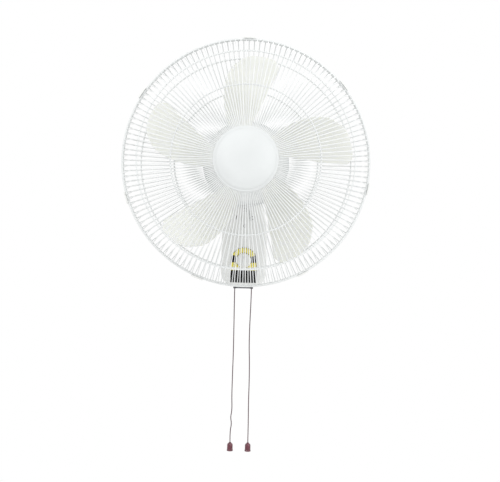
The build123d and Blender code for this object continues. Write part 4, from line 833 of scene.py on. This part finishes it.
def makeNumeral(sign, angle, c):
    # the sign made a mesh, then stood upright at its place round the dial
    text = bpy.data.curves.new("numeral" + sign, "FONT")
    text.body = sign
    text.size = c["size"] * mm
    text.align_x = "CENTER"
    text.align_y = "CENTER"
    text.offset = c["stroke"] * mm
    text.extrude = inkFilm * mm
    holder = bpy.data.objects.new("numeral", text)
    bpy.context.scene.collection.objects.link(holder)
    bpy.context.view_layer.update()
    mesh = bpy.data.meshes.new_from_object(holder.evaluated_get(bpy.context.evaluated_depsgraph_get()))
    bpy.data.objects.remove(holder)
    x, z = c["numeralRadius"] * math.sin(angle), c["z"] + c["numeralRadius"] * math.cos(angle)
    spot = Vector((x, coverFace - c["lift"], z)) * mm
    mesh.transform(Matrix.Translation(spot) @ Matrix.Rotation(math.radians(90), 4, "X"))
    return mesh


# 0 at the foot, and each next numeral a quarter turn on
signs = [makeNumeral(str(k), math.radians(180 + 90 * k), dial) for k in range(4)]
numerals = newPiece("dialNumerals", joinMeshes("dialNumerals", signs), outward=False)
place(numerals, "base", "panel_plastic", markInk)
place(cadCopy("speedDial", "speed_dial", dial["edge"]), "dial", "dial_plastic", housingAbs, "speed_dial")
pointerLine = {"x": (-0.7, 0.7), "z": (dial["z"] - 4.4, dial["z"] + 6.8), "lift": 0.06, "sunk": 0.1}
coverBar = {"x": (9.5, 11.7), "z": (43.7, 66.6), "lift": 0.06, "sunk": 0.02}
printedLine("dialPointerLine", "dial", frontFace("speed_dial"), pointerLine)
printedLine("dialBar", "base", coverFace, coverBar)
print("base, panel and dial made")

# CAD nodes whose shape is right keep their mesh and get their finish
carried = {"wall_bracket": zincSteel, "cover_screws": brightSteel, "arm_screws": brightSteel,
           "tilt_bolt": brightSteel, "tilt_nut": zincSteel, "tilt_washers": innerNylon,
           "control_switch": switchPhenolic, "dial_detent": innerNylon, "speed_switch": switchPhenolic,
           "swing_switch": switchPhenolic, "run_capacitor": switchPhenolic, "terminal_block": innerNylon,
           "mains_inlet": inletRubber, "pivot_bracket": castAlloy, "pivot_pin": brightSteel,
           "thrust_washer": innerNylon, "swing_motor": zincSteel, "swing_crank": innerNylon,
           "swing_link": zincSteel, "front_shield": castAlloy, "rear_shield": castAlloy,
           "stator": lamination, "stator_spacers": brightSteel, "windings": windingCopper,
           "front_bearing": brightSteel, "rear_bearing": brightSteel, "motor_bolts": brightSteel,
           "cap_plate": capAbs, "cap_screws": brightSteel, "shaft": brightSteel,
           "rotor_core": lamination, "drive_pin": brightSteel}
for node, material in carried.items():
    paint(nodes[node], material)

# Neck and nuts: copies of their nodes with rounded edges
place(cadCopy("swivelNeck", "neck", 0.6), "neck", "cast_alloy", castAlloy, "neck")
place(cadCopy("guardNut", "guard_nut", 0.6), "head", "clip_plastic", clipNylon, "guard_nut")
place(cadCopy("spinnerNut", "spinner", 0.5), "rotor", "clip_plastic", clipNylon, "spinner")

# Floor: a plain pale disc well below the fan, under the camera's view
floor = {"radius": 1.9, "z": -1.25, "rings": 12}


def makeFloor(c):
    # a disc from rings of growing radius
    r = np.linspace(0, c["radius"], c["rings"])
    profile = np.stack([r, np.full_like(r, c["z"])], -1)
    piece = newPiece("floor", latheZ("floor", profile, steps=96, closed=False), outward=False)
    # Matt floor paint: pale and rolled, so uneven over 20 mm
    paint(piece, surfaceFinish("matFloorPaint", ("#f0f0ef", "#f4f4f3"), (0.6, 0.7),
                               clouds=300, grain=20, depth=0.05, sockets={"IOR": 1.45}))


# Light: three soft lamps aimed at the fan, and a sky that is white to the camera
skyLevel = 0.8
lampAim = (0.0, -0.2, 0.1)
lamps = [{"name": "keyLamp", "spot": (-1.5, -2.3, 1.7), "size": 1.6, "power": 28.0},
         {"name": "fillLamp", "spot": (1.9, -1.9, 0.5), "size": 1.8, "power": 20.0},
         {"name": "backLamp", "spot": (0.6, 1.8, 1.6), "size": 1.6, "power": 14.0}]


def makeSky(level):
    # white for camera, glossy and transmission rays, a plainer level for the light on the object
    world = bpy.data.worlds.new("sky")
    bpy.context.scene.world = world
    world.use_nodes = True
    world.node_tree.nodes.clear()
    path = addNode(world, "ShaderNodeLightPath")
    seen = addNode(world, "ShaderNodeMath", links={0: (path, "Is Camera Ray"), 1: (path, "Is Glossy Ray")},
                   operation="MAXIMUM")
    seen = addNode(world, "ShaderNodeMath", links={0: (seen, 0), 1: (path, "Is Transmission Ray")},
                   operation="MAXIMUM")
    strength = addNode(world, "ShaderNodeMapRange", {"To Min": level, "To Max": 1.0}, {"Value": (seen, 0)})
    sky = addNode(world, "ShaderNodeBackground", {"Color": (1, 1, 1, 1)},
                  {"Strength": (strength, "Result")})
    addNode(world, "ShaderNodeOutputWorld", links={"Surface": (sky, 0)})


def makeLamp(name, spot, size, power):
    # a square area lamp, turned so that its -Z points at the aim; size in metres, power in watts
    data = bpy.data.lights.new(name, "AREA")
    data.size = size
    data.energy = power
    lamp = bpy.data.objects.new(name, data)
    toward = Vector(lampAim) - Vector(spot)
    lamp.matrix_world = Matrix.Translation(spot) @ toward.to_track_quat("-Z", "Y").to_matrix().to_4x4()
    bpy.context.scene.collection.objects.link(lamp)


makeFloor(floor)
makeSky(skyLevel)
for lamp in lamps:
    makeLamp(**lamp)
bpy.context.scene.view_settings.view_transform = "Standard"
print("light made")
